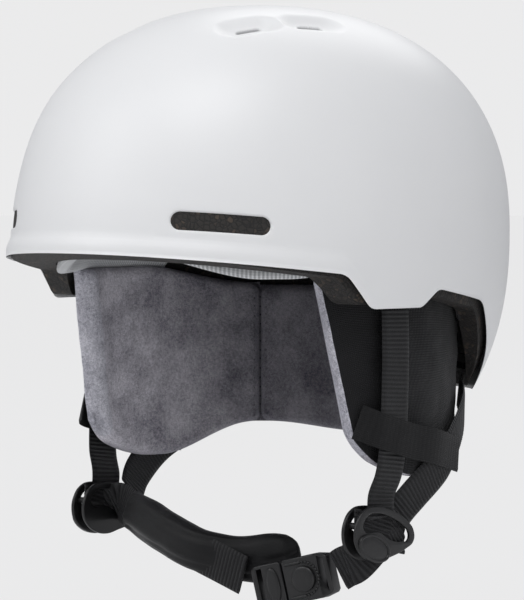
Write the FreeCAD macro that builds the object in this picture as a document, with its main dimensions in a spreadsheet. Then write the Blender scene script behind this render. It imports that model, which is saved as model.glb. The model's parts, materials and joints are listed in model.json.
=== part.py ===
import FreeCAD, Part
import math
import os

# Ski helmet, millimetres. -Y is the front, +X the wearer's left, +Z up.
# The origin lies on the head's axis, level with the front brim.

os.makedirs("parts", exist_ok=True)
doc = FreeCAD.newDocument("ski_helmet")
sheet = doc.addObject("Spreadsheet::Sheet", "sizes")
V = FreeCAD.Vector

sizes = [
    # hard shell
    ("half_width", 111.0),
    ("half_length", 138.0),
    ("crown_height", 118.0),
    ("shell_wall", 2.5),
    # foam liner and the hollow for the head
    ("liner_gap", 0.4),
    ("cavity_half_width", 85.0),
    ("cavity_half_length", 108.0),
    ("cavity_height", 90.0),
    # shell edge, seen from the side
    ("temple_drop", 12.5),
    ("tab_drop", 29.0),
    ("notch_drop", 20.5),
    ("nape_drop", 74.0),
    # vents
    ("slot_length", 46.0),
    ("slot_width", 8.5),
    ("scoop_length", 15.0),
    ("scoop_ball", 12.0),
    ("scoop_depth", 3.6),
    ("slit_length", 14.0),
    ("slit_width", 3.6),
    # ear and nape pads
    ("pad_half_width", 94.0),
    ("pad_half_length", 101.0),
    ("cover_thick", 1.2),
    ("foam_thick", 6.5),
    ("lining_thick", 3.2),
    ("layer_gap", 0.15),
    ("brow_thick", 7.0),
    ("crown_pad_thick", 6.0),
    # webbing
    ("web_width", 20.0),
    ("web_thick", 1.4),
    ("keeper_width", 17.0),
    ("keeper_thick", 1.0),
    # strap divider
    ("divider_plate", 1.8),
    ("divider_space", 5.6),
    ("post_radius", 1.6),
    ("badge_length", 23.0),
    ("badge_height", 12.0),
    # buckle
    ("buckle_width", 22.0),
    ("buckle_thick", 8.0),
    ("boss_height", 2.2),
    ("magnet_radius", 4.0),
    ("magnet_thick", 3.0),
    ("tab_thick", 6.0),
    # snaps, anchors and hook patches
    ("snap_radius", 5.0),
    ("snap_thick", 1.4),
    ("stud_radius", 2.2),
    ("anchor_length", 26.0),
    ("anchor_height", 9.0),
    ("anchor_thick", 3.0),
    ("patch_radius", 9.0),
    ("patch_thick", 0.8),
    # goggle strap clip at the back
    ("clip_width", 20.0),
    ("clip_top", 24.0),
    ("clip_length", 56.0),
    ("clip_thick", 2.0),
    ("clip_stand_off", 2.6),
    ("rivet_radius", 3.5),
]
for row, (alias, value) in enumerate(sizes, start=1):
    sheet.set("A%d" % row, alias)
    sheet.set("B%d" % row, str(value))
    sheet.setAlias("B%d" % row, alias)
doc.recompute()

size = {alias: sheet.getPropertyByName(alias) for alias, _ in sizes}
node_shapes = {}


# ---------------------------------------------------------------- surfaces

plan_power = 2.08      # a little squarer than an ellipse, seen from above
profile_power = 2.3    # a little squarer than an ellipse, seen from the side
equator_mid = -1.0
equator_tilt = 9.0     # the widest line drops towards the front
tuck_depth = 132.0     # how far down the shell would close below its widest line


def smooth(x):
    x = min(1.0, max(0.0, x))
    return x * x * (3.0 - 2.0 * x)


def plan_radius(turn, half_width, half_length):
    """Distance from the axis to the plan outline; turn is measured from the front."""
    side = abs(math.sin(turn) / half_width) ** plan_power
    front = abs(math.cos(turn) / half_length) ** plan_power
    return (side + front) ** (-1.0 / plan_power)


def equator(turn):
    return equator_mid - equator_tilt * math.cos(turn)


def polar(turn, radius, z):
    return V(radius * math.sin(turn), -radius * math.cos(turn), z)


def shell_point(turn, lift, inset):
    """Point of the shell surface moved inwards; lift is an angle, 90 degrees at the crown."""
    c = math.cos(lift)
    s = math.sin(lift)
    rho = (abs(c) ** profile_power + abs(s) ** profile_power) ** (-1.0 / profile_power)
    radius = plan_radius(turn, size["half_width"] - inset, size["half_length"] - inset)
    z0 = equator(turn)
    if s >= 0.0:
        z = z0 + (size["crown_height"] - inset - z0) * rho * s
    else:
        z = z0 + (tuck_depth - inset) * rho * s
    return polar(turn, radius * rho * c, z)


cavity_equator = 12.0
cavity_depth = 112.0
side_flare = 0.125
rear_tuck = 0.05


def cavity_radius(turn, z, inset=0.0):
    """Inner face of the foam liner below its widest line."""
    u = max(0.0, (cavity_equator - z) / cavity_depth)
    flare = side_flare * abs(math.sin(turn)) * smooth(3.0 * u)
    tuck = rear_tuck * math.cos(turn) ** 2 * u * u
    radius = plan_radius(turn, size["cavity_half_width"], size["cavity_half_length"])
    return radius * (1.0 + flare - tuck) - inset


def cavity_point(turn, lift, inset):
    if lift < 0.0:
        z = cavity_equator + cavity_depth * lift / math.radians(60)
        return polar(turn, cavity_radius(turn, z, inset), z)
    c = math.cos(lift)
    s = math.sin(lift)
    rho = (abs(c) ** profile_power + abs(s) ** profile_power) ** (-1.0 / profile_power)
    height = size["cavity_height"] - inset - cavity_equator
    return polar(turn, cavity_radius(turn, cavity_equator, inset) * rho * c,
                 cavity_equator + height * rho * s)


def pad_radius(turn, z):
    """Outer face of the ear and nape pads, kept inside the foam liner's hollow."""
    drop = smooth((-30.0 - z) / 70.0)
    width = size["pad_half_width"] + 1.0 * drop
    length = size["pad_half_length"] - 6.0 * drop
    free = plan_radius(turn, width, length)
    room = 1.2 + 3.2 * smooth((math.degrees(turn) - 98.0) / 30.0)
    return min(free, cavity_radius(turn, z, room))


def grid_face(point, us, vs):
    surface = Part.BSplineSurface()
    surface.interpolate([[point(u, v) for v in vs] for u in us])
    return surface.toShape()


def steps(start, end, count):
    return [start + (end - start) * i / (count - 1) for i in range(count)]


def dome(point, inset, lowest, across=15, up=13):
    """Closed solid under a domed surface, in a left half and a right half."""
    lifts = steps(math.radians(lowest), math.radians(90), up)
    halves = []
    for side in (1, -1):
        def half(turn, lift):
            p = point(turn, lift, inset)
            if lift == lifts[-1]:
                p = V(0, 0, p.z)
            return V(side * p.x, p.y, p.z)
        halves.append(grid_face(half, steps(0, math.pi, across), lifts))
    rims = [min(f.Edges, key=lambda e: e.CenterOfMass.z if e.Length > 1 else 1e3) for f in halves]
    base = Part.makeRuledSurface(rims[0], rims[1])
    skin = Part.makeShell(halves + base.Faces)
    skin.sewShape()
    return Part.makeSolid(skin)


def slab(outer, inner, across=13, up=7):
    """Closed sheet of padding or webbing between two faces given as functions of u and v."""
    us = steps(0.0, 1.0, across)
    vs = steps(0.0, 1.0, up)
    faces = []
    rims = []
    for point in (outer, inner):
        surface = Part.BSplineSurface()
        surface.interpolate([[point(u, v) for v in vs] for u in us])
        faces.append(surface.toShape())
        rims.append([surface.uIso(0.0), surface.uIso(1.0), surface.vIso(0.0), surface.vIso(1.0)])
    for a, b in zip(rims[0], rims[1]):
        faces.append(Part.makeRuledSurface(a.toShape(), b.toShape()))
    skin = Part.makeShell(faces)
    skin.sewShape()
    solid = Part.makeSolid(skin)
    if solid.Volume < 0:
        solid.reverse()
    return solid


def spread(points, u):
    """Point at u on a smooth curve through the given points (Catmull-Rom)."""
    span = u * (len(points) - 1)
    i = min(int(span), len(points) - 2)
    f = span - i
    p1 = points[i]
    p2 = points[i + 1]
    p0 = points[i - 1] if i > 0 else p1 * 2 - p2
    p3 = points[i + 2] if i + 2 < len(points) else p2 * 2 - p1
    return (p1 * 2 + (p2 - p0) * f + (p0 * 2 - p1 * 5 + p2 * 4 - p3) * f * f
            + (p1 * 3 - p0 - p2 * 3 + p3) * f ** 3) * 0.5


def strap(points, normals, width, thick, across=None):
    """Flat webbing along a smooth curve; each normal is the way the flat face looks."""
    route = [V(*p) for p in points]
    looks = [V(*n) for n in normals]

    def place(u, v, side):
        here = spread(route, u)
        ahead = (spread(route, min(1.0, u + 0.01)) - spread(route, max(0.0, u - 0.01))).normalize()
        look = spread(looks, u)
        edge = ahead.cross(look).normalize()
        face = edge.cross(ahead).normalize()
        return here + edge * ((v - 0.5) * width) + face * (side * 0.5 * thick)

    return slab(lambda u, v: place(u, v, 1), lambda u, v: place(u, v, -1),
                across or 4 * len(points), 3)


# ---------------------------------------------------------------- document helpers

def feature(name, shape):
    obj = doc.addObject("Part::Feature", name)
    obj.Shape = shape
    return obj


def bind(obj, prop, expression):
    obj.setExpression(prop, expression)


def link(kind, name, base, tool):
    obj = doc.addObject(kind, name)
    obj.Base = base
    obj.Tool = tool
    return obj


def gather(name, shapes):
    obj = doc.addObject("Part::Compound", name)
    obj.Links = shapes
    return obj


def axes_placement(origin, x_way, z_way):
    x = V(*x_way).normalize()
    y = V(*z_way).cross(x).normalize()
    z = x.cross(y)
    turn = FreeCAD.Rotation(x, y, z, "XYZ")
    return FreeCAD.Placement(V(*origin), turn)


def plane_of(body, role):
    for item in body.Origin.OriginFeatures:
        if item.Role == role:
            return item
    return None


def sketch_on(body, name, role="XY_Plane"):
    sketch = body.newObject("Sketcher::SketchObject", name)
    sketch.AttachmentSupport = [(plane_of(body, role), "")]
    sketch.MapMode = "FlatFace"
    return sketch


def outline(sketch, corners):
    """Closed outline through corner points."""
    count = len(corners)
    for i in range(count):
        a = V(corners[i][0], corners[i][1], 0)
        b = V(corners[(i + 1) % count][0], corners[(i + 1) % count][1], 0)
        sketch.addGeometry(Part.LineSegment(a, b), False)


def pad_feature(body, name, sketch, length, midplane=False, reverse=False):
    pad = body.newObject("PartDesign::Pad", name)
    pad.Profile = sketch
    bind(pad, "Length", length)
    pad.Midplane = midplane
    pad.Reversed = reverse
    doc.recompute()
    return pad


def keep(name, obj):
    """Name a finished sub-part; its label is the name of its file."""
    obj.Label = name
    node_shapes[name] = obj
    return obj


def mirrored(name, source):
    obj = doc.addObject("Part::Mirroring", name)
    obj.Source = source
    obj.Normal = V(1, 0, 0)
    obj.Base = V(0, 0, 0)
    return keep(name, obj)


def both_sides(name, left):
    keep("left_" + name, left)
    mirrored("right_" + name, left)


# ---------------------------------------------------------------- side profile

def side_cutter(name, corners):
    """Block below the shell's edge; corners are (y, z, corner radius), from front to back."""
    floor_z = -260.0
    path = [V(0, y, z) for y, z, _ in corners]
    rounds = [r for _, _, r in corners]
    edges = []
    start = path[0]
    for i in range(1, len(path) - 1):
        into = (path[i] - path[i - 1]).normalize()
        out = (path[i + 1] - path[i]).normalize()
        turn = math.acos(max(-1.0, min(1.0, into.dot(out))))
        cut = rounds[i] * math.tan(turn / 2)
        a = path[i] - into * cut
        b = path[i] + out * cut
        middle = (out - into).normalize()
        bow = rounds[i] * (1 / math.cos(turn / 2) - 1)
        edges.append(Part.LineSegment(start, a).toShape())
        edges.append(Part.Arc(a, path[i] + middle * bow, b).toShape())
        start = b
    edges.append(Part.LineSegment(start, path[-1]).toShape())
    low = [path[-1], V(0, path[-1].y, floor_z), V(0, path[0].y, floor_z), path[0]]
    for a, b in zip(low, low[1:]):
        edges.append(Part.LineSegment(a, b).toShape())
    face = Part.Face(Part.Wire(edges))
    face.translate(V(-180, 0, 0))
    return feature(name, face.extrude(V(360, 0, 0)))


tab_z = -size["tab_drop"]
notch_z = -size["notch_drop"]
nape_z = -size["nape_drop"]
temple_z = -size["temple_drop"]
shell_edge = [
    (-170, 1.0, 0), (-55, temple_z, 9), (-41, tab_z, 7), (-8, tab_z, 6), (4, notch_z, 7),
    (46, notch_z - 7.0, 12), (67, -55, 30), (76, nape_z, 12), (170, nape_z - 3.0, 0)]
foam_edge = [
    (-170, 3.0, 0), (-57, temple_z - 1.5, 6), (-47, tab_z + 2.0, 7), (-7, tab_z + 2.0, 6),
    (3, notch_z - 3.5, 6), (43, notch_z - 10.5, 12), (63, -57, 30), (73, nape_z + 2.0, 10),
    (170, nape_z - 1.0, 0)]
shell_below = side_cutter("below_shell_edge", shell_edge)
foam_below = side_cutter("below_foam_edge", foam_edge)

# ---------------------------------------------------------------- shell and foam

shell_outside = feature("shell_outside", dome(shell_point, 0.0, -48))
shell_inside = feature("shell_inside", dome(shell_point, size["shell_wall"], -48))
foam_outside = feature("foam_outside",
                       dome(shell_point, size["shell_wall"] + size["liner_gap"], -48))
cavity = feature("head_hollow", dome(cavity_point, 0.0, -60, 19, 25))


def outward(turn, z):
    """Surface point and outward direction of the shell at a turn and height."""
    low = math.radians(-40)
    high = math.radians(89)
    for _ in range(40):
        mid = 0.5 * (low + high)
        if shell_point(turn, mid, 0).z < z:
            low = mid
        else:
            high = mid
    tiny = 0.002
    p = shell_point(turn, low, 0)
    across = shell_point(turn + tiny, low, 0) - shell_point(turn - tiny, low, 0)
    up = shell_point(turn, low + tiny, 0) - shell_point(turn, low - tiny, 0)
    out = across.cross(up).normalize()
    if out.dot(V(p.x, p.y, 0.2)) < 0:
        out = out * -1
    return p, out


# one long slot through the shell on each side of the brow
slot_turn = math.radians(33.6)
slot_z = 12.0
slot_slope = 3.9
slot_point, slot_out = outward(slot_turn, slot_z)


def pill(name, length, width, height, placement, drop):
    """Prism with rounded ends, its long way along X, cut symmetrically about its middle."""
    box = doc.addObject("Part::Box", name + "_middle")
    bind(box, "Length", "sizes.%s - sizes.%s" % (length, width))
    bind(box, "Width", "sizes." + width)
    box.Height = height
    half = (size[length] - size[width]) / 2
    box.Placement = FreeCAD.Placement(V(-half, -size[width] / 2, -drop), FreeCAD.Rotation())
    pieces = [box]
    for side in (-1, 1):
        end = doc.addObject("Part::Cylinder", name + ("_end_a" if side < 0 else "_end_b"))
        bind(end, "Radius", "sizes.%s / 2" % width)
        end.Height = height
        end.Placement = FreeCAD.Placement(V(side * half, 0, -drop), FreeCAD.Rotation())
        pieces.append(end)
    fused = doc.addObject("Part::MultiFuse", name)
    fused.Shapes = pieces
    fused.Placement = placement
    return fused


slot_level = V(-slot_out.y, slot_out.x, 0).normalize() * -1
slot_way = slot_level * math.cos(math.radians(slot_slope)) + V(0, 0, math.sin(math.radians(slot_slope)))
left_slot = pill("left_slot", "slot_length", "slot_width", 30.0,
                 axes_placement(slot_point, slot_way, slot_out), 22.0)
right_slot = doc.addObject("Part::Mirroring", "right_slot")
right_slot.Source = left_slot
right_slot.Normal = V(1, 0, 0)

# four scooped vents on top, each with a slit that runs through the foam
scoops = [(38.5, -52.0, 18.0), (50.5, -20.0, 21.0)]
scoop_cuts = []
scoop_walls = []
slit_cuts = []
for number, (x, y, splay) in enumerate(scoops, start=1):
    turn = math.atan2(x, -y)
    reach = math.hypot(x, y)
    low = math.radians(10)
    high = math.radians(89)
    for _ in range(40):
        mid = 0.5 * (low + high)
        p = shell_point(turn, mid, 0)
        if math.hypot(p.x, p.y) > reach:
            low = mid
        else:
            high = mid
    point, out = outward(turn, shell_point(turn, low, 0).z)
    way = V(math.sin(math.radians(splay)), math.cos(math.radians(splay)), 0)
    way = (way - out * way.dot(out)).normalize()
    centre = point + out * (size["scoop_ball"] - size["scoop_depth"])
    for side in (1, -1):
        tag = "%s_%d" % ("left" if side > 0 else "right", number)
        c = V(centre.x * side, centre.y, centre.z)
        w = V(way.x * side, way.y, way.z)
        o = V(out.x * side, out.y, out.z)
        for kind, extra, store in (("scoop", 0.0, scoop_cuts), ("scoop_wall", size["shell_wall"], scoop_walls)):
            parts = []
            rod = doc.addObject("Part::Cylinder", "%s_rod_%s" % (kind, tag))
            bind(rod, "Radius", "sizes.scoop_ball + %s" % extra)
            bind(rod, "Height", "sizes.scoop_length")
            rod.Placement = axes_placement(c - w * (size["scoop_length"] / 2), o, w)
            parts.append(rod)
            for end in (-1, 1):
                ball = doc.addObject("Part::Sphere", "%s_ball_%s_%s" % (kind, tag, "a" if end < 0 else "b"))
                bind(ball, "Radius", "sizes.scoop_ball + %s" % extra)
                ball.Placement = FreeCAD.Placement(c + w * (end * size["scoop_length"] / 2),
                                                   FreeCAD.Rotation())
                parts.append(ball)
            whole = doc.addObject("Part::MultiFuse", "%s_%s" % (kind, tag))
            whole.Shapes = parts
            store.append(whole)
        slit_cuts.append(pill("slit_" + tag, "slit_length", "slit_width", 60.0,
                              axes_placement(V(point.x * side, point.y, point.z), w, o), 50.0))

shell_skin = link("Part::Cut", "shell_skin", shell_outside, shell_inside)
wall_bumps = doc.addObject("Part::MultiFuse", "scoop_walls")
wall_bumps.Shapes = scoop_walls
bowls = link("Part::Common", "scoop_bowls", wall_bumps, shell_outside)
shell_full = link("Part::Fuse", "shell_with_bowls", shell_skin, bowls)
openings = doc.addObject("Part::MultiFuse", "shell_openings")
openings.Shapes = [shell_below, left_slot, right_slot] + scoop_cuts + slit_cuts
keep("outer_shell", link("Part::Cut", "outer_shell", shell_full, openings))

foam_full = link("Part::Cut", "foam_full", foam_outside, cavity)
foam_openings = doc.addObject("Part::MultiFuse", "foam_openings")
foam_openings.Shapes = [foam_below] + scoop_walls + slit_cuts
foam_cut = link("Part::Cut", "foam_cut", foam_full, foam_openings)

# ---------------------------------------------------------------- ear and nape pads

seam_turn = math.radians(135.5)
nape_turn = math.radians(139.5)


def pad_bottom(turn):
    """Lower edge: a lobe below the ear that rises to the seam and drops again at the nape."""
    degrees = math.degrees(turn)
    if degrees < 92:
        return -112.0 + 9.0 * ((92.0 - degrees) / 25.0) ** 2
    rise = smooth((degrees - 96.0) / 40.0)
    back = smooth((degrees - 140.0) / 30.0)
    return -112.0 + 16.0 * rise - 4.0 * back


def ear_front(z):
    return math.radians(55.0 - 0.145 * z)


def ear_top(turn):
    degrees = math.degrees(turn)
    return -9.0 + 9.0 * smooth((degrees - 60.0) / 16.0) - 22.0 * smooth((degrees - 95.0) / 40.0)


def ear_layer(outer_inset, inner_inset):
    def face(inset):
        def point(u, v):
            plain = math.radians(60.0) + (seam_turn - math.radians(60.0)) * u
            z = pad_bottom(plain) + (ear_top(plain) - pad_bottom(plain)) * v
            turn = ear_front(z) + (seam_turn - ear_front(z)) * u
            return polar(turn, pad_radius(turn, z) - inset, z)
        return point
    return slab(face(outer_inset), face(inner_inset), 17, 13)


def nape_layer(outer_inset, inner_inset):
    top = -24.0

    def face(inset):
        def point(u, v):
            turn = nape_turn + (2 * math.pi - 2 * nape_turn) * u
            mirror = min(turn, 2 * math.pi - turn)
            z = pad_bottom(mirror) + (top - pad_bottom(mirror)) * v
            return polar(turn, pad_radius(mirror, z) - inset, z)
        return point
    return slab(face(outer_inset), face(inner_inset), 15, 7)


layers = []
depth = 0.0
for layer, thick in (("cover", "cover_thick"), ("foam", "foam_thick"), ("lining", "lining_thick")):
    layers.append((layer, depth, depth + size[thick]))
    depth += size[thick] + size["layer_gap"]
ear_solids = {}
for layer, near, far in layers:
    ear_solids[layer] = feature("ear_pad_" + layer, ear_layer(near, far))
    keep("nape_pad_" + layer, feature("nape_pad_" + layer, nape_layer(near, far)))
both_sides("ear_pad_foam", ear_solids["foam"])
both_sides("ear_pad_lining", ear_solids["lining"])


def hollow_radius(turn, z, inset):
    """Inner face of the foam at any height."""
    if z <= cavity_equator:
        return cavity_radius(turn, z, inset)
    h = (z - cavity_equator) / (size["cavity_height"] - inset - cavity_equator)
    return cavity_radius(turn, cavity_equator, inset) * (1.0 - h ** profile_power) ** (1 / profile_power)


brow_low = -4.0
brow_drop = 12.0       # the pad reaches further down at the temples
brow_high = 25.0
brow_turn = math.radians(51.0)


def brow_face(inset):
    def point(u, v):
        turn = -brow_turn + 2 * brow_turn * u
        low = brow_low - brow_drop * smooth((abs(math.degrees(turn)) - 8.0) / 42.0)
        z = low + (brow_high - low) * v
        return polar(turn, hollow_radius(turn, z, inset), z)
    return point


keep("brow_pad", feature("brow_pad", slab(brow_face(0.6), brow_face(0.6 + size["brow_thick"]), 17, 5)))

# comfort pads against the crown: a long middle one and one on each side
crown_gap = 1.0
crown_outside = feature("crown_pad_outside", dome(cavity_point, crown_gap, -20))
crown_inside = feature("crown_pad_inside",
                       dome(cavity_point, crown_gap + size["crown_pad_thick"], -24))
crown_skin = link("Part::Cut", "crown_pad_skin", crown_outside, crown_inside)
crown_blocks = []
for name, low, high in (("middle", (-20, -66, 42), (20, 74, 110)), ("left", (27, -2, 42), (62, 60, 110)),
                        ("right", (-62, -2, 42), (-27, 60, 110))):
    block = doc.addObject("Part::Box", "crown_block_" + name)
    block.Length = high[0] - low[0]
    block.Width = high[1] - low[1]
    block.Height = high[2] - low[2]
    block.Placement = FreeCAD.Placement(V(*low), FreeCAD.Rotation())
    crown_blocks.append(block)
keep("crown_pads", link("Part::Common", "crown_pads", crown_skin, gather("crown_blocks", crown_blocks)))

# ---------------------------------------------------------------- webbing

front_exit = V(96.3, -12.0, -29.0)
rear_exit = V(66.0, 80.0, -72.0)
divider_centre = V(91.0, -18.0, -137.0)
layer_shift = 1.6


def on_pad(degrees, z, lift):
    turn = math.radians(degrees)
    p = polar(turn, pad_radius(turn, z) + lift, z)
    return (p.x, p.y, p.z)


def away(degrees, tilt=0.0):
    turn = math.radians(degrees)
    return (math.sin(turn), -math.cos(turn), tilt)


front_route = [(96.3, -12.0, -30.6), (97.2, -12.6, -52.0), (97.8, -14.0, -76.0), (97.4, -15.0, -96.0),
               (96.0, -16.4, -109.0), (divider_centre.x + layer_shift, -17.6, -119.0),
               (divider_centre.x + layer_shift, -18.0, -128.0),
               (divider_centre.x + layer_shift, -18.0, -138.0)]
both_sides("front_strap", feature("front_strap", strap(
    front_route, [(1, 0, 0)] * len(front_route), size["web_width"], size["web_thick"])))

rear_route = [on_pad(140.5, -75.0, 3.8), on_pad(130.0, -84.0, 3.8), on_pad(117.0, -95.0, 3.8),
              on_pad(105.0, -106.5, 3.4), (93.0, 7.0, -120.0),
              (divider_centre.x - layer_shift, -2.0, -129.5)]
rear_looks = [away(140), away(130), away(117), away(105), (1, 0.1, 0), (1, 0, 0)]
both_sides("rear_strap", feature("rear_strap", strap(
    rear_route, rear_looks, size["web_width"], size["web_thick"])))

keeper_route = [on_pad(69.5, -83.0, 2.2), (98.6, -28.0, -86.4), (99.7, -15.0, -90.2), (99.7, -3.0, -93.6),
                on_pad(100.0, -97.8, 5.8), on_pad(114.0, -103.5, 6.4)]
keeper_looks = [away(69.5), away(80), away(90), away(91), away(100), away(114)]
both_sides("elastic_keeper", feature("elastic_keeper", strap(
    keeper_route, keeper_looks, size["keeper_width"], size["keeper_thick"])))

# buckle frame: x runs down the strap towards the chin, y across it, z to the front
buckle_start = V(72.0, -28.0, -156.5)
strap_way = V(-0.95, -0.19, -0.25).normalize()
buckle_face = V(0.19, -0.98, 0).normalize()
buckle_place = axes_placement(buckle_start, strap_way, buckle_face)
buckle_face = buckle_place.Rotation.multVec(V(0, 0, 1))

lower_route = [(84.2, -26.6, -150.5), (78.2, -27.2, -153.6), tuple(buckle_start - strap_way * 2.6)]
lower_looks = [(0.55, -0.8, 0), (0.4, -0.9, 0), tuple(buckle_face)]
keep("left_lower_strap", feature("left_lower_strap", strap(
    lower_route, lower_looks, size["web_width"], size["web_thick"])))

swing_axis = V(-80.0, -19.0, 0.0)
chin_route = [(swing_axis.x, swing_axis.y, -134.0), (-65.0, -25.5, -137.0), (-49.0, -30.0, -140.5),
              (-30.0, -34.5, -145.5), (-12.0, -37.5, -151.0), (5.0, -38.4, -156.0), (21.5, -37.6, -161.5)]
chin_looks = [(0.5, -0.86, 0), (0.45, -0.9, 0), (0.38, -0.92, 0), (0.3, -0.95, 0), (0.15, -0.98, 0),
              (0.0, -1.0, 0), (-0.05, -1.0, 0)]
chin_webbing = keep("chin_webbing", feature("chin_webbing", strap(
    chin_route, chin_looks, size["web_width"], size["web_thick"])))

# padded sleeve round the chin webbing: an oval tube that fills out from its ends
sleeve_gap = 0.25
sleeve_start = 0.09
sleeve_end = 0.94
sleeve_tall = 13.0
sleeve_deep = 6.5


def sleeve_section(u):
    route = [V(*p) for p in chin_route]
    looks = [V(*n) for n in chin_looks]
    here = spread(route, u)
    ahead = (spread(route, u + 0.01) - spread(route, u - 0.01)).normalize()
    edge = ahead.cross(spread(looks, u)).normalize()
    face = edge.cross(ahead).normalize()
    along = (u - sleeve_start) / (sleeve_end - sleeve_start)
    fill = 0.42 + 0.58 * smooth(along / 0.22) * smooth((1.0 - along) / 0.12)
    tall = sleeve_tall * (0.86 + 0.14 * fill)
    deep = sleeve_deep * fill
    oval = Part.Ellipse(V(0, 0, 0), tall, deep).toShape()
    turn = FreeCAD.Rotation(edge, face, edge.cross(face), "XYZ")
    oval.Placement = FreeCAD.Placement(here, turn)
    return Part.Wire([oval])


sleeve = feature("chin_sleeve_full", Part.makeLoft(
    [sleeve_section(u) for u in steps(sleeve_start, sleeve_end, 13)], True, False))
sleeve_hollow = feature("chin_sleeve_hollow", strap(
    chin_route, chin_looks, size["web_width"] + 2 * sleeve_gap, size["web_thick"] + 2 * sleeve_gap))
keep("chin_pad", link("Part::Cut", "chin_pad", sleeve, sleeve_hollow))

# ---------------------------------------------------------------- strap divider

divider = doc.addObject("PartDesign::Body", "divider")
plate_sketch = sketch_on(divider, "divider_outline")
outline(plate_sketch, [(-22, -1), (-20, 7), (-15.5, 12.5), (-8, 13.5), (6, 10), (17, 4.5), (22, -1.5),
                       (21, -6), (16, -8.5), (3, -12), (-5, -13.5), (-13, -11.5), (-19, -7)])
plate = pad_feature(divider, "divider_block", plate_sketch, "sizes.divider_space + 2 * sizes.divider_plate",
                    midplane=True)
space_sketch = sketch_on(divider, "web_space")
outline(space_sketch, [(-30, -20), (30, -20), (30, 20), (-30, 20)])
post_spots = [(-17.2, 4.5), (11.5, -7.0)]
for x, y in post_spots:
    space_sketch.addGeometry(Part.Circle(V(x, y, 0), V(0, 0, 1), size["post_radius"]), False)
space = divider.newObject("PartDesign::Pocket", "web_space_cut")
space.Profile = space_sketch
space.Midplane = True
bind(space, "Length", "sizes.divider_space")
doc.recompute()
window_sketch = sketch_on(divider, "divider_window")
outline(window_sketch, [(-13, 2.5), (-9.5, 9), (3, 6.5), (13, 1.5), (10, -2.5), (-3, 0.5)])
window = divider.newObject("PartDesign::Pocket", "divider_window_cut")
window.Profile = window_sketch
window.Length = 12.0
window.Reversed = True
doc.recompute()
badge_sketch = sketch_on(divider, "badge_outline")
badge_sketch.AttachmentOffset = FreeCAD.Placement(
    V(-9.5, -6.5, size["divider_space"] / 2 + size["divider_plate"]), FreeCAD.Rotation(V(0, 0, 1), -24))
badge_sketch.addGeometry(Part.Ellipse(V(0, 0, 0), size["badge_length"] / 2, size["badge_height"] / 2), False)
badge = divider.newObject("PartDesign::Pad", "badge_pad")
badge.Profile = badge_sketch
badge.Length = 1.2
doc.recompute()
divider.Placement = axes_placement(divider_centre, (0, 1, 0), (1, 0, 0))
both_sides("divider", divider)

# ---------------------------------------------------------------- chin buckle

joint_slope = 0.69      # the two halves meet on a slanted plane that opens forwards
base_length = 26.0
latch_length = 44.0
joint_gap = 0.5
half_thick = size["buckle_thick"] / 2


def buckle_half(name, near, far, near_slope, far_slope, slot):
    body = doc.addObject("PartDesign::Body", name)
    side_sketch = sketch_on(body, name + "_side", "XZ_Plane")
    outline(side_sketch, [(near + near_slope, -half_thick), (far + far_slope, -half_thick),
                          (far - far_slope, half_thick), (near - near_slope, half_thick)])
    pad_feature(body, name + "_block", side_sketch, "sizes.buckle_width", midplane=True)
    slot_sketch = sketch_on(body, name + "_slot")
    half = size["web_width"] / 2 + 0.5
    if half > size["buckle_width"] / 2 - 1.0:
        half = size["buckle_width"] / 2 - 1.0
    outline(slot_sketch, [(slot, -half), (slot + 3.0, -half), (slot + 3.0, half), (slot, half)])
    cut = body.newObject("PartDesign::Pocket", name + "_slot_cut")
    cut.Profile = slot_sketch
    cut.Midplane = True
    cut.Length = 30.0
    doc.recompute()
    return body


slant = joint_slope * half_thick
base_body = buckle_half("buckle_base_body", 0.0, base_length, 0.0, slant, 3.0)
boss_sketch = sketch_on(base_body, "boss_outline")
boss_sketch.AttachmentOffset = FreeCAD.Placement(V(0, 0, half_thick), FreeCAD.Rotation())
boss_sketch.addGeometry(Part.Circle(V(15.0, 0, 0), V(0, 0, 1), 7.5), False)
boss = base_body.newObject("PartDesign::Pad", "boss_pad")
boss.Profile = boss_sketch
bind(boss, "Length", "sizes.boss_height")
doc.recompute()
base_body.Placement = buckle_place
latch_body = buckle_half("buckle_latch_body", base_length + joint_gap, latch_length, slant, 0.0, 38.0)
latch_body.Placement = buckle_place


def magnet(name, along):
    disc = doc.addObject("Part::Cylinder", name)
    bind(disc, "Radius", "sizes.magnet_radius")
    bind(disc, "Height", "sizes.magnet_thick")
    disc.Placement = buckle_place.multiply(
        FreeCAD.Placement(V(along, 0, -size["magnet_thick"] / 2), FreeCAD.Rotation()))
    return disc


base_magnet = keep("buckle_base_magnet", magnet("buckle_base_magnet", 15.0))
latch_magnet = keep("buckle_latch_magnet", magnet("buckle_latch_magnet", 33.0))
keep("buckle_base", link("Part::Cut", "buckle_base", base_body, base_magnet))
keep("buckle_latch", link("Part::Cut", "buckle_latch", latch_body, latch_magnet))

tab = doc.addObject("PartDesign::Body", "buckle_pull_tab")
tab_sketch = sketch_on(tab, "tab_outline")
tab_edge = size["buckle_width"] / 2 + 2.4
outline(tab_sketch, [(latch_length - 14.0, tab_edge), (latch_length + 2.0, tab_edge),
                     (latch_length + 1.0, tab_edge + 8.0), (latch_length - 12.0, tab_edge + 8.0)])
pad_feature(tab, "tab_block", tab_sketch, "sizes.tab_thick", midplane=True)
tab.Placement = buckle_place
keep("buckle_pull_tab", tab)

# ---------------------------------------------------------------- anchors, snaps and hook patches

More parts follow.
